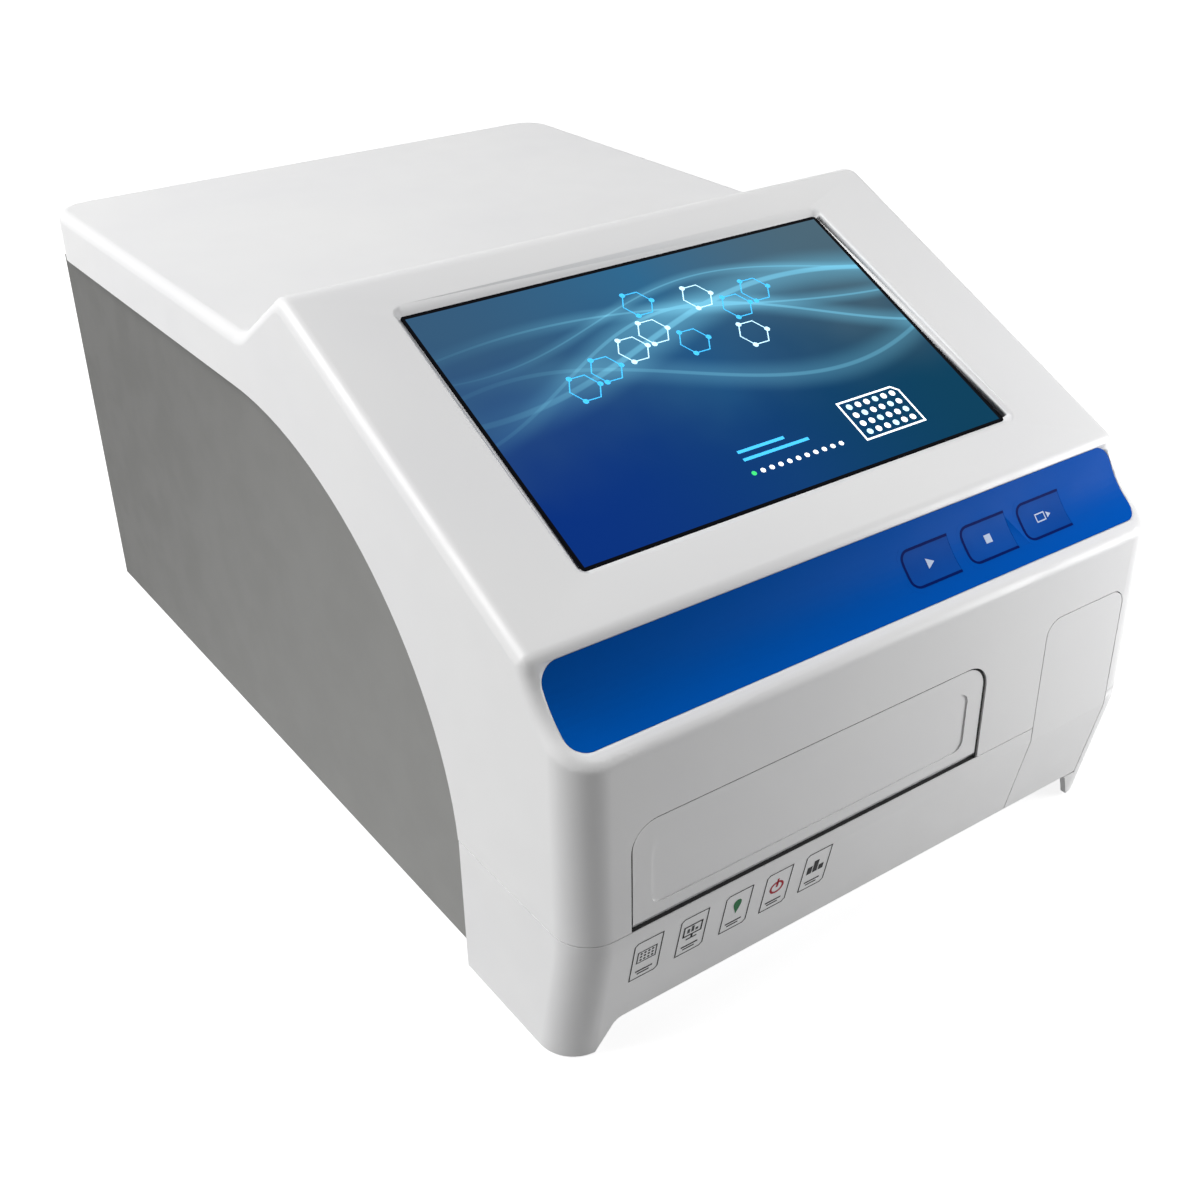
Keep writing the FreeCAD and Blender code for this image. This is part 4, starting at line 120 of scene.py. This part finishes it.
class Finish:
    """A material under construction: its node tree, its shader and object coordinates."""

    def __init__(self, name, colour, roughness, **sockets):
        self.material = bpy.data.materials.new(name)
        self.material.use_nodes = True
        self.tree = self.material.node_tree
        self.shader = self.tree.nodes["Principled BSDF"]
        self.place = self.add("ShaderNodeTexCoord").outputs["Object"]
        self.shader.inputs["Base Color"].default_value = (*linear(colour), 1)
        self.shader.inputs["Roughness"].default_value = roughness
        for socket, value in sockets.items():
            self.shader.inputs[socket.replace("_", " ")].default_value = value

    def add(self, kind, **settings):
        node = self.tree.nodes.new(kind)
        for key, value in settings.items():
            setattr(node, key, value)
        return node

    def feed(self, socket, value):
        if isinstance(value, bpy.types.NodeSocket):
            self.tree.links.new(value, socket)
        else:
            socket.default_value = value

    def math(self, operation, first, second=0.0, third=0.0):
        node = self.add("ShaderNodeMath", operation=operation)
        for index, value in enumerate((first, second, third)):
            self.feed(node.inputs[index], value)
        return node.outputs[0]

    def along(self, direction, start):
        """Distance from start along a direction, in metres."""
        node = self.add("ShaderNodeVectorMath", operation="DOT_PRODUCT")
        self.feed(node.inputs[0], self.place)
        node.inputs[1].default_value = direction
        return self.math("SUBTRACT", node.outputs["Value"], Vector(direction).dot(Vector(start)))

    def noise(self, scale, detail=3.0, stretch=None):
        node = self.add("ShaderNodeTexNoise")
        node.inputs["Scale"].default_value = scale
        node.inputs["Detail"].default_value = detail
        source = self.place
        if stretch:
            mapping = self.add("ShaderNodeMapping")
            mapping.inputs["Scale"].default_value = stretch
            self.feed(mapping.inputs["Vector"], source)
            source = mapping.outputs["Vector"]
        self.feed(node.inputs["Vector"], source)
        return node.outputs["Fac"]

    def ramp(self, value, stops):
        node = self.add("ShaderNodeValToRGB")
        elements = node.color_ramp.elements
        while len(elements) < len(stops):
            elements.new(0.5)
        for element, (position, code) in zip(elements, stops):
            element.position = position
            element.color = (*linear(code), 1)
        self.feed(node.inputs["Fac"], value)
        return node.outputs["Color"]

    def span(self, value, low, high, new_low=0.0, new_high=1.0):
        node = self.add("ShaderNodeMapRange", interpolation_type="SMOOTHSTEP")
        for index, number in enumerate((low, high, new_low, new_high), start=1):
            node.inputs[index].default_value = number
        self.feed(node.inputs[0], value)
        return node.outputs[0]

    def mix(self, share, first, second, blend="MIX"):
        node = self.add("ShaderNodeMix", data_type="RGBA", blend_type=blend)
        self.feed(node.inputs["Factor"], share)
        self.feed(node.inputs[6], first)
        self.feed(node.inputs[7], second)
        return node.outputs[2]

    def mottle(self, scale, first, second, detail=3.0, stretch=None):
        """Base colour that wanders between two near shades."""
        self.feed(self.shader.inputs["Base Color"],
                  self.ramp(self.noise(scale, detail, stretch), [(0.35, first), (0.65, second)]))
        return self

    def painted_shading(self, direction, middle, reach, first, second, wander=0.12):
        """Painted shading: base colour that moves from one shade to another along a direction, standing in
        for light falling across the surface, with a little random unevenness of tone.
        """
        way = Vector(direction).normalized()
        share = self.span(self.along(way, middle), -reach, reach)
        uneven = self.math("MULTIPLY_ADD", self.noise(12), wander, -wander / 2)
        self.feed(self.shader.inputs["Base Color"],
                  self.ramp(self.math("ADD", share, uneven), [(0.0, first), (1.0, second)]))
        return self

    def patchy(self, scale, low, high):
        """Roughness that wanders between two values."""
        self.feed(self.shader.inputs["Roughness"], self.span(self.noise(scale), 0.3, 0.7, low, high))
        return self

    def grain(self, scale, depth, detail=4.0, stretch=None):
        """Fine relief of a given depth in metres."""
        bump = self.add("ShaderNodeBump")
        bump.inputs["Distance"].default_value = depth
        self.feed(bump.inputs["Height"], self.noise(scale, detail, stretch))
        self.feed(self.shader.inputs["Normal"], bump.outputs["Normal"])
        return self


def make_finishes():
    """One material for each material slot of the record."""
    made = {}
    made["shell_white"] = (Finish("shell_white_plastic", "EBEBEC", 0.36, Specular_IOR_Level=0.45)
                           .mottle(9, "EAEAEB", "EDEDED").patchy(60, 0.32, 0.42).grain(2600, 0.000012))
    # painted shade: the blue shifts very slightly from the upper left of the panel to its lower right, as
    # light falls across the cove
    made["panel_blue"] = (Finish("panel_blue_gloss", "0050B0", 0.42, Specular_IOR_Level=0.02)
                          .painted_shading((0.55, -0.5, -0.65), (0, -0.225, 0.161), 0.11, "0056B2", "0054B6")
                          .patchy(40, 0.36, 0.46).grain(1500, 0.000006))
    made["key_blue"] = (Finish("key_blue_gloss", "0E4FA8", 0.4, Specular_IOR_Level=0.02)
                        .mottle(30, "0A4AA2", "1253AE").patchy(80, 0.34, 0.44).grain(1500, 0.000006))
    # painted shade: the side panels are darker towards the upper back and lighter towards the lower front,
    # as light falls on them
    made["panel_grey"] = (Finish("side_grey_powder_coat", "8A8A87", 0.6, Specular_IOR_Level=0.3)
                          .painted_shading((0, -0.8, -0.6), (0, 0.04, 0.1), 0.19, "636361", "8D8D8B")
                          .patchy(50, 0.56, 0.62).grain(1700, 0.00006))
    made["tray_metal"] = (Finish("tray_plated_sheet", "B4B7BA", 0.38, Metallic=1.0)
                          .mottle(60, "ABAEB2", "BCBFC2").patchy(90, 0.3, 0.48).grain(500, 0.00002))
    made["feet_rubber"] = (Finish("feet_black_rubber", "1C1C1D", 0.8)
                           .mottle(300, "19191A", "212122").patchy(200, 0.72, 0.88).grain(900, 0.00008))
    made["gasket_rubber"] = (Finish("gasket_foam", "202021", 0.9)
                             .mottle(800, "1B1B1C", "262627").grain(1400, 0.0001))
    made["belt_rubber"] = (Finish("belt_rubber", "18181A", 0.7)
                           .mottle(300, "151516", "1F1F20").grain(700, 0.00006))
    made["circuit_board"] = (Finish("board_green_resist", "11512B", 0.35, Coat_Weight=0.4)
                             .mottle(420, "0F4A27", "176034").grain(500, 0.00003))
    made["black_plastic"] = (Finish("black_moulding", "1E1F20", 0.5)
                             .mottle(120, "1B1C1D", "232425").patchy(120, 0.42, 0.58).grain(2200, 0.00003))
    made["carrier_plastic"] = (Finish("carrier_black_anodised", "2A2B2D", 0.4, Metallic=0.6)
                               .mottle(90, "262729", "303133").patchy(90, 0.34, 0.48).grain(1800, 0.00002))
    made["supply_case"] = (Finish("supply_perforated_case", "A9ABAD", 0.4, Metallic=0.9)
                           .mottle(80, "A2A4A6", "B1B3B5").grain(600, 0.00002))
    made["steel"] = (Finish("ground_steel", "B9BBBD", 0.25, Metallic=1.0)
                     .mottle(300, "B2B4B6", "C1C3C5", stretch=(1, 0.05, 1)).patchy(250, 0.18, 0.32)
                     .grain(900, 0.000008, stretch=(1, 0.05, 1)))
    made["port_metal"] = (Finish("port_plated_shell", "B2B4B6", 0.28, Metallic=1.0)
                          .mottle(500, "A8AAAC", "BCBEC0").grain(900, 0.00001))
    made["motor_metal"] = (Finish("motor_dark_can", "4A4B4D", 0.4, Metallic=0.8)
                           .mottle(200, "444547", "525355").grain(900, 0.00002))
    made["brass"] = (Finish("bush_bronze", "B48A4A", 0.35, Metallic=1.0)
                     .mottle(200, "A98043", "BE9451").grain(800, 0.00002))
    made["bare_aluminium"] = (Finish("milled_aluminium", "C3C5C8", 0.34, Metallic=1.0)
                              .mottle(160, "BBBDC0", "CACCCF").patchy(160, 0.28, 0.42)
                              .grain(700, 0.00002, stretch=(0.1, 1, 1)))
    made["black_metal"] = (Finish("black_anodised", "202123", 0.45, Metallic=0.5)
                           .mottle(140, "1C1D1F", "262729").grain(1500, 0.00002))
    made["clear_glass"] = (Finish("lens_glass", "E6EEF2", 0.05, Transmission_Weight=0.9, IOR=1.5)
                           .mottle(40, "E2ECF0", "EAF1F4"))
    return {slot: finish.material for slot, finish in made.items()}


def screen_finish():
    """The lit display: a dark border, then a blue field with soft ribbons of light."""
    finish = Finish("screen_lit_glass", "020305", 0.12, Specular_IOR_Level=0.02)
    up = (0.0, math.cos(SLOPE_TURN), math.sin(SLOPE_TURN))
    across = finish.math("DIVIDE", finish.along((1, 0, 0), (0, 0, 0)), SCREEN_HALF_WIDTH)
    rise = finish.math("DIVIDE", finish.along(up, SLOPE_CENTRE), SCREEN_HALF_HEIGHT)
    side = finish.span(across, -1.0, 1.0)
    low_band = finish.ramp(side, [(0.0, "033282"), (0.5, "0A3F78"), (1.0, "01415F")])
    high_band = finish.ramp(side, [(0.0, "365D7E"), (0.5, "2E6A92"), (1.0, "4C6979")])
    height = finish.math("ADD", rise, finish.math("MULTIPLY_ADD", finish.noise(22, 2.0), 0.8, -0.4))
    field = finish.mix(finish.span(height, -0.7, 0.9), low_band, high_band)
    light = 0.0
    for height, swing, rate, start, width, power in (
            (0.34, 0.26, 2.1, 0.4, 0.075, 0.75), (0.22, 0.34, 2.5, 1.5, 0.045, 0.6),
            (0.46, 0.22, 1.7, 2.6, 0.03, 0.55), (0.05, 0.30, 2.3, 3.4, 0.055, 0.4),
            (0.60, 0.18, 2.8, 0.9, 0.022, 0.5)):
        wave = finish.math("SINE", finish.math("MULTIPLY_ADD", across, rate, start))
        centre = finish.math("MULTIPLY_ADD", wave, swing, height)
        off = finish.math("ABSOLUTE", finish.math("SUBTRACT", rise, centre))
        glow = finish.span(off, 0.0, width * 3, power * 0.45, 0.0)
        core = finish.span(off, width * 0.15, width * 0.5, power, 0.0)
        light = finish.math("ADD", light, finish.math("MAXIMUM", glow, core))
    light = finish.math("MULTIPLY", light, finish.span(across, -1.05, 0.1, 0.15, 1.0))
    lit = finish.mix(finish.math("MINIMUM", light, 1.0), field, (*linear("7FD4F5"), 1))
    inside = finish.math("MULTIPLY", finish.math("LESS_THAN", finish.math("ABSOLUTE", across), 1.0),
                         finish.math("LESS_THAN", finish.math("ABSOLUTE", rise), 1.0))
    picture = finish.mix(inside, (0.002, 0.002, 0.003, 1), lit)
    finish.feed(finish.shader.inputs["Emission Color"], picture)
    finish.shader.inputs["Emission Strength"].default_value = 0.95
    return finish.material


def ink(name, code, glow=0.0, roughness=0.5, shine=0.1):
    """Printed ink, a lit mark on the screen where glow is set, or the flat dark colour of painted shade."""
    finish = Finish(name, code, roughness, Specular_IOR_Level=shine).mottle(900, code, code)
    if glow:
        finish.shader.inputs["Emission Color"].default_value = (*linear(code), 1)
        finish.shader.inputs["Emission Strength"].default_value = glow
    return finish.material


# Pieces with soft edges
def body_of(node):
    bodies = frame["record"]["behaviour"]["bodies"]
    return next(body for body, nodes in bodies.items() if node in nodes)


def set_material(thing, material):
    thing.data.materials.clear()
    thing.data.materials.append(material)


def moulded(node, slot, edge, crease=32):
    """A node's own shape with soft edges and even shading, standing for the plain one."""
    shape = bmesh.new()
    shape.from_mesh(frame["nodes"][node].data)
    bmesh.ops.remove_doubles(shape, verts=shape.verts, dist=0.00001)
    mesh = bpy.data.meshes.new(node + "_moulded")
    shape.to_mesh(mesh)
    shape.free()
    for polygon in mesh.polygons:
        polygon.use_smooth = True
    mesh.set_sharp_from_angle(angle=math.radians(crease))
    piece = bpy.data.objects.new(node + "_moulded", mesh)
    bpy.context.scene.collection.objects.link(piece)
    set_material(piece, finishes[slot])
    if edge:
        rounding = piece.modifiers.new("edge_rounding", "BEVEL")
        rounding.width = edge
        rounding.segments = 3
        rounding.limit_method = "ANGLE"
        rounding.angle_limit = math.radians(40)
        rounding.harden_normals = True
    even = piece.modifiers.new("even_shading", "WEIGHTED_NORMAL")
    even.keep_sharp = True
    even.weight = 80
    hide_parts(node)
    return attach(piece, body_of(node))


# Film: print, lit screen marks and painted shade in gaps
class Film:
    """Flat shapes, printed, lit on the screen or painted shade in gaps, drawn in millimetres on a plane and
    given a hair of thickness.
    """

    def __init__(self, name, body, slot, materials):
        self.name, self.body, self.slot, self.materials = name, body, slot, materials
        self.shape = bmesh.new()

    def area(self, corners, index=0):
        face = self.shape.faces.new([self.shape.verts.new((x, y, 0)) for x, y in corners])
        face.material_index = index
        return face

    def bar(self, x0, y0, x1, y1, index=0):
        return self.area(rectangle(x0, y0, x1, y1), index)

    def hollow(self, face, line):
        """Keeps only a rim of a face, as wide as line."""
        face.normal_update()
        bmesh.ops.inset_region(self.shape, faces=[face], thickness=line, use_even_offset=True,
                                 use_boundary=True)
        bmesh.ops.delete(self.shape, geom=[face], context="FACES")

    def frame(self, corners, line, index=0):
        self.hollow(self.area(corners, index), line)

    def disc(self, x, y, radius, index=0, sides=24):
        turns = [math.tau * k / sides for k in range(sides)]
        corners = [(x + radius * math.cos(turn), y + radius * math.sin(turn)) for turn in turns]
        return self.area(corners, index)

    def ring(self, x, y, radius, line, index=0, sides=24):
        self.hollow(self.disc(x, y, radius, index, sides), line)

    def line(self, points, width, index=0):
        """A line of even width through a row of points, as a strip of small areas."""
        sides = []
        for number, point in enumerate(points):
            before, after = points[max(number - 1, 0)], points[min(number + 1, len(points) - 1)]
            way = (Vector(after) - Vector(before)).normalized() * width / 2
            x, y = point
            sides.append(((x - way.y, y + way.x), (x + way.y, y - way.x)))
        for (left, right), (next_left, next_right) in zip(sides, sides[1:]):
            self.area([left, right, next_right, next_left], index)
        bmesh.ops.remove_doubles(self.shape, verts=self.shape.verts, dist=0.001)

    def lay(self, place, thickness=0.06, lift=0.02):
        """Puts the film on the object: place turns x, y and height in millimetres into its frame."""
        flat = list(self.shape.faces)
        bmesh.ops.recalc_face_normals(self.shape, faces=flat)
        for face in flat:
            if face.normal.z < 0:
                face.normal_flip()
        raised = bmesh.ops.extrude_face_region(self.shape, geom=flat)
        top = [v for v in raised["geom"] if isinstance(v, bmesh.types.BMVert)]
        bmesh.ops.translate(self.shape, verts=top, vec=(0, 0, thickness))
        for vertex in self.shape.verts:
            vertex.co = place(vertex.co.x, vertex.co.y, vertex.co.z + lift)
        bmesh.ops.recalc_face_normals(self.shape, faces=self.shape.faces)
        mesh = bpy.data.meshes.new(self.name)
        self.shape.to_mesh(mesh)
        self.shape.free()
        for material in self.materials:
            mesh.materials.append(material)
        piece = bpy.data.objects.new(self.name, mesh)
        bpy.context.scene.collection.objects.link(piece)
        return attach(piece, self.body)


def rectangle(x0, y0, x1, y1):
    return [(x0, y0), (x1, y0), (x1, y1), (x0, y1)]


def arc(x, y, radius, start, end, steps=6):
    """Points of an arc between two angles in degrees."""
    turns = [math.radians(start + (end - start) * k / steps) for k in range(steps + 1)]
    return [(x + radius * math.cos(turn), y + radius * math.sin(turn)) for turn in turns]


def node_heights(node, measure):
    return [measure(vertex.co) for vertex in frame["nodes"][node].data.vertices]


def cove_distance(point):
    return math.hypot(point.y - COVE_AXIS.y, point.z - COVE_AXIS.z)


slope_out = Vector((0, -math.sin(SLOPE_TURN), math.cos(SLOPE_TURN)))
slope_up = Vector((0, math.cos(SLOPE_TURN), math.sin(SLOPE_TURN)))
chin_out = Vector((0, -math.cos(CHIN_TURN), -math.sin(CHIN_TURN)))
chin_up = Vector((0, -math.sin(CHIN_TURN), math.cos(CHIN_TURN)))
glass_level = max(node_heights("touch_glass", lambda point: point.dot(slope_out)))
key_surface = min(node_heights("key_stop", cove_distance))


def on_glass(x, y, height):
    base = SLOPE_CENTRE + slope_up * y * MM + Vector((x * MM, 0, 0))
    return base + slope_out * (glass_level - base.dot(slope_out) + height * MM)


def on_chin(x, y, height):
    return CHIN_TOP + chin_up * y * MM + chin_out * height * MM + Vector((x * MM, 0, 0))


def on_door_gap(x, y, height):
    return Vector((x, DOOR_GAP_Y - height, y)) * MM


def on_sill(x, y, height):
    return Vector((x, y, SILL_HEIGHT + height)) * MM


def on_key(x, y, height):
    angle = COVE_TURN - math.pi / 2 + (y + KEY_LIFT) * MM / key_surface
    radius = key_surface - height * MM
    return COVE_AXIS + Vector((x * MM, math.cos(angle) * radius, math.sin(angle) * radius))


# Dressing the solids, then the films
def dress_solids():
    """Gives each node its finish, and the nodes in view a copy with soft edges."""
    for entry in frame["record"]["subparts"]:
        if entry["material_slot"] in finishes:
            set_material(frame["nodes"][entry["node"]], finishes[entry["material_slot"]])
    set_material(frame["nodes"]["touch_glass"], screen_finish())
    for node, (slot, edge) in SOFT_EDGED.items():
        moulded(node, slot, edge)


def key_slits():
    """Painted shade: a dark line laid in the slit round each key where the gap is in shade, with the
    panel's blue in the slit's outer corners.
    """
    # painted shade: the dark line stands in for the shade inside the key slits
    shade_lines = Film("key_slit_painted_shade", "chassis", "panel_blue", [ink("key_slit_shade_dark", "021C62", shine=0.02)])
    fills = Film("key_slit_corners", "chassis", "panel_blue", [finishes["panel_blue"]])
    for middle in KEY_MIDDLES:
        left, right = middle - KEY_LEFT_REACH, middle + KEY_RIGHT_REACH
        upper = (left + KEY_CORNER, KEY_HALF_HEIGHT - KEY_CORNER)
        lower = (left + KEY_CORNER, KEY_CORNER - KEY_HALF_HEIGHT)
        shade_lines.line([(right, KEY_HALF_HEIGHT), *arc(*upper, KEY_CORNER, 90, 180),
                       (left, SLIT_STRAIGHT), (left, -SLIT_STRAIGHT),
                       *arc(*lower, KEY_CORNER, 180, 270), (right, -KEY_HALF_HEIGHT)], SLIT_LINE)
        for corner, start in ((upper, 90), (lower, 180)):
            fills.line(arc(*corner, KEY_CORNER + SLIT_LINE, start, start + 90), SLIT_FILL)
    shade_lines.lay(on_key, thickness=0.06, lift=0.05)
    fills.lay(on_key, thickness=0.03, lift=0.01)


def shade_door_gap():
    """Painted shade: a dark strip laid in the gap round the plate door, and a painted shadow along its
    sill.
    """
    left, right, high, low, corner = DOOR_GAP
    # painted shade: the dark gasket colour stands in for the shade in the door gap, and as a painted shadow
    # on the sill
    door_shade = Film("door_gap_painted_shade", "chassis", "gasket_rubber", [finishes["gasket_rubber"]])
    door_shade.line([(left, low), *arc(left + corner, high - corner, corner, 180, 90, 10),
               *arc(right - corner, high - corner, corner, 90, 0, 10), (right, low)], GAP_SHADE_WIDTH)
    door_shade.lay(on_door_gap, thickness=0.1, lift=0)
    sill = Film("sill_painted_shadow", "chassis", "gasket_rubber", [finishes["gasket_rubber"]])
    sill.bar(left, SILL_FRONT, right, SILL_BACK)
    sill.lay(on_sill, thickness=0.05, lift=0.02)


def key_marks():
    """Light marks on the keys: run, stop, and plate in or out."""
    white_ink = ink("key_mark_ink", "C9D8F2")
    half, tip = 1.8, 2.2
    tray_left, tray_right, tray_half, tray_line = -4.4, 1.2, 1.9, 0.55
    arrow_back, arrow_tip, arrow_half = 2.2, 4.6, 1.3
    for key, x in zip(("start", "stop", "plate"), KEY_MIDDLES):
        film = Film(f"{key}_key_mark", f"{key}_key", "key_blue", [white_ink])
        if key == "start":
            film.area([(x - half, -tip), (x + tip, 0), (x - half, tip)])
        elif key == "stop":
            film.bar(x - half, -half, x + half, half)
        else:
            film.frame(rectangle(x + tray_left, -tray_half, x + tray_right, tray_half), tray_line)
            film.area([(x + arrow_back, -arrow_half), (x + arrow_tip, 0), (x + arrow_back, arrow_half)])
        film.lay(on_key)


def plate_picture(film, left, centre):
    """A small plate with three rows of four wells."""
    right, half, pitch = left + PICTURE_WIDTH, 3.4, 1.8
    film.frame(rectangle(left + PICTURE_MARGIN, centre - half, right - PICTURE_MARGIN, centre + half),
               PICTURE_LINE, GREY_INK)
    for row in range(3):
        for column in range(4):
            film.disc(left + 4.1 + column * pitch, centre - pitch + row * pitch, 0.55, GREY_INK, sides=10)


def display_picture(film, left, centre):
    """A display on its foot, with three bars on it."""
    middle, right = left + PICTURE_WIDTH / 2, left + PICTURE_WIDTH
    film.frame(rectangle(left + PICTURE_MARGIN, centre - 2.4, right - PICTURE_MARGIN, centre + 4.0),
               0.7, DARK_INK)
    film.bar(middle - 0.5, centre - 4.0, middle + 0.5, centre - 2.5, DARK_INK)
    film.bar(middle - 2.6, centre - 4.7, middle + 2.6, centre - 4.0, DARK_INK)
    for bar_left, bar_right, bar_top in ((4.2, 5.4, 1.8), (6.2, 7.4, 2.7), (8.2, 9.4, 0.8)):
        film.bar(left + bar_left, centre - 0.6, left + bar_right, centre + bar_top, GREY_INK)


def drop_picture(film, left, centre):
    """A drop with its point down."""
    middle, half_width, half_height = left + PICTURE_WIDTH / 2, 2.9, 4.2
    turns = [math.tau * k / 28 for k in range(28)]
    edge = [(middle + half_width * math.sin(turn) * (0.55 + 0.45 * math.cos(turn)),
             centre + 0.5 + half_height * math.cos(turn)) for turn in turns]
    film.area(edge[::-1], GREEN_INK)


def power_picture(film, left, centre):
    """A ring with an upright stroke."""
    middle = left + PICTURE_WIDTH / 2
    film.ring(middle, centre - 0.5, 3.6, 1.0, RED_INK)
    film.bar(middle - 0.5, centre - 0.5, middle + 0.5, centre + 4.6, RED_INK)


def chart_picture(film, left, centre):
    """Three columns of a chart."""
    foot, pitch = centre - 3.4, 3.1
    for column, rise in enumerate((4.4, 6.9, 3.2)):
        film.bar(left + 2.4 + column * pitch, foot, left + 4.9 + column * pitch, foot + rise, DARK_INK)


def framed_pictures():
    """Five framed pictures on the front base, each over two plain bars."""
    inks = [ink("icon_dark_ink", "1E1F20"), ink("icon_grey_ink", "3C3E40"),
            ink("icon_green_ink", "1F6B3F"), ink("icon_red_ink", "A81F30")]
    film = Film("front_icons", "chassis", "shell_white", inks)
    pictures = (plate_picture, display_picture, drop_picture, power_picture, chart_picture)
    low, cut = -PICTURE_HEIGHT, PICTURE_CUT
    for left, picture in zip(PICTURE_LEFTS, pictures):
        right = left + PICTURE_WIDTH
        film.frame([(left, low), (right - cut, low), (right, low + cut), (right, 0.0), (left + cut, 0.0),
                    (left, -cut)], PICTURE_LINE, DARK_INK)
        film.bar(left + 2.6, low + 4.0, right - 3.0, low + 4.8, DARK_INK)
        film.bar(left + 3.6, low + 2.4, right - 4.4, low + 3.1, DARK_INK)
        picture(film, left, low + 13.0)
    film.lay(on_chin, thickness=0.05, lift=0.03)


def screen_marks():
    """Lit marks on the screen: a lattice of cells, a small plate, progress dots and two bars."""
    glows = [ink("screen_pale_light", "BFE9FB", 0.9, 0.1), ink("screen_cyan_light", "3FB4EE", 0.8, 0.1),
             ink("screen_white_light", "F4FAFF", 1.0, 0.1), ink("screen_green_light", "35C46A", 0.9, 0.1)]
    film = Film("screen_marks", "chassis", "screen_glass", glows)
    for column, row in CELLS:
        light = PALE_LIGHT if (column, row) in PALE_CELLS else CYAN_LIGHT
        x = CELLS_LEFT + column * CELL_STEP + CELL_LEAN * row
        y = CELLS_LOW + (column % 2) * CELL_STAGGER + row * CELL_RISE - column * CELL_FALL
        film.ring(x, y, CELL_RADIUS, CELL_LINE, light, sides=6)
        for corner in (0, 2, 4):
            angle = math.tau * corner / 6
            film.disc(x + CELL_DOT_REACH * math.cos(angle), y + CELL_DOT_REACH * math.sin(angle),
                      CELL_DOT, light, sides=14)
    left, right, low, high = PLATE_LEFT, PLATE_LEFT + PLATE_WIDTH, PLATE_LOW, PLATE_LOW + PLATE_HEIGHT
    film.frame([(left, low), (right, low), (right, high - PLATE_CUT), (right - PLATE_CUT, high),
                (left, high)], 0.9, WHITE_LIGHT)
    for column in range(6):
        for row in range(4):
            light = WHITE_LIGHT if (column + row) % 3 else PALE_LIGHT
            film.disc(left + 4.8 + column * 4.9, low + 3.9 + row * 4.8, 1.5, light, sides=16)
    for number in range(11):
        light = WHITE_LIGHT if number else GREEN_LIGHT
        film.disc(PROGRESS_LEFT + number * 4.6, low + 3.0, 1.15, light, sides=14)
    for number, width in enumerate((34, 24)):
        rise = number * 4.2
        film.bar(PROGRESS_LEFT, low + 9.5 + rise, PROGRESS_LEFT + width, low + 11.0 + rise, CYAN_LIGHT)
    film.lay(on_glass, thickness=0.03, lift=0.02)


finishes = make_finishes()
dress_solids()
key_slits()
shade_door_gap()
key_marks()
framed_pictures()
screen_marks()


# Studio: floor, air, lamps and camera
def studio_floor():
    """A pale floor that the camera and reflections see as nearly white."""
    finish = Finish("studio_floor", "A6A6A6", 0.9, Specular_IOR_Level=0.1)
    finish.mottle(3, "A5A5A5", "A7A7A7")
    path = finish.add("ShaderNodeLightPath")
    reflected = finish.math("ADD", path.outputs["Is Glossy Ray"], path.outputs["Is Transmission Ray"])
    seen = finish.math("MINIMUM", 1.0, finish.math("ADD", path.outputs["Is Camera Ray"], reflected))
    finish.shader.inputs["Emission Color"].default_value = (1, 1, 1, 1)
    across = finish.add("ShaderNodeVectorMath", operation="LENGTH")
    finish.feed(across.inputs[0], finish.place)
    glow = finish.span(across.outputs["Value"], low=0.5, high=1.5, new_low=0.86, new_high=1.0)
    finish.feed(finish.shader.inputs["Emission Strength"], finish.math("MULTIPLY", seen, glow))
    shape = bmesh.new()
    bmesh.ops.create_grid(shape, x_segments=2, y_segments=2, size=15)
    mesh = bpy.data.meshes.new("studio_floor")
    shape.to_mesh(mesh)
    shape.free()
    floor = bpy.data.objects.new("studio_floor", mesh)
    bpy.context.scene.collection.objects.link(floor)
    set_material(floor, finish.material)


def studio_world():
    """White air for the camera and reflections, and only a little light from it."""
    world = bpy.data.worlds.new("studio_air")
    bpy.context.scene.world = world
    world.use_nodes = True
    tree = world.node_tree
    path = tree.nodes.new("ShaderNodeLightPath")
    air = tree.nodes["Background"]
    air.inputs["Color"].default_value = (1, 1, 1, 1)
    seen = None
    for name in ("Is Camera Ray", "Is Glossy Ray", "Is Transmission Ray"):
        if seen is None:
            seen = path.outputs[name]
            continue
        step = tree.nodes.new("ShaderNodeMath")
        step.operation = "MAXIMUM"
        tree.links.new(seen, step.inputs[0])
        tree.links.new(path.outputs[name], step.inputs[1])
        seen = step.outputs[0]
    level = tree.nodes.new("ShaderNodeMapRange")
    level.inputs["To Min"].default_value = 0.04
    level.inputs["To Max"].default_value = 1.0
    tree.links.new(seen, level.inputs["Value"])
    tree.links.new(level.outputs["Result"], air.inputs["Strength"])


def soft_light(name, place, power, size):
    """A square lamp that faces the middle of the object."""
    lamp = bpy.data.lights.new(name, "AREA")
    lamp.energy = power
    lamp.size = size
    holder = bpy.data.objects.new(name, lamp)
    holder.location = place
    aim = Vector((0, 0, 0.12)) - Vector(place)
    holder.rotation_euler = aim.to_track_quat("-Z", "Y").to_euler()
    bpy.context.scene.collection.objects.link(holder)


studio_floor()
studio_world()
soft_light("key_light", (-1.5, 0.55, 2.0), 68, 1.6)
soft_light("fill_light", (0.52, -0.54, 0.26), 3.0, 0.3)

camera_data = bpy.data.cameras.new("camera")
camera_data.sensor_width = 36
camera_data.lens = 46.37
camera_data.clip_end = 60
camera = bpy.data.objects.new("camera", camera_data)
camera.location = (-0.3791, -0.5833, 0.4584)
camera.rotation_euler = Euler([math.radians(a) for a in (59.4818, 0.8681, -35.4183)], "XYZ")
bpy.context.scene.collection.objects.link(camera)
bpy.context.scene.camera = camera
bpy.context.scene.view_settings.view_transform = "Standard"
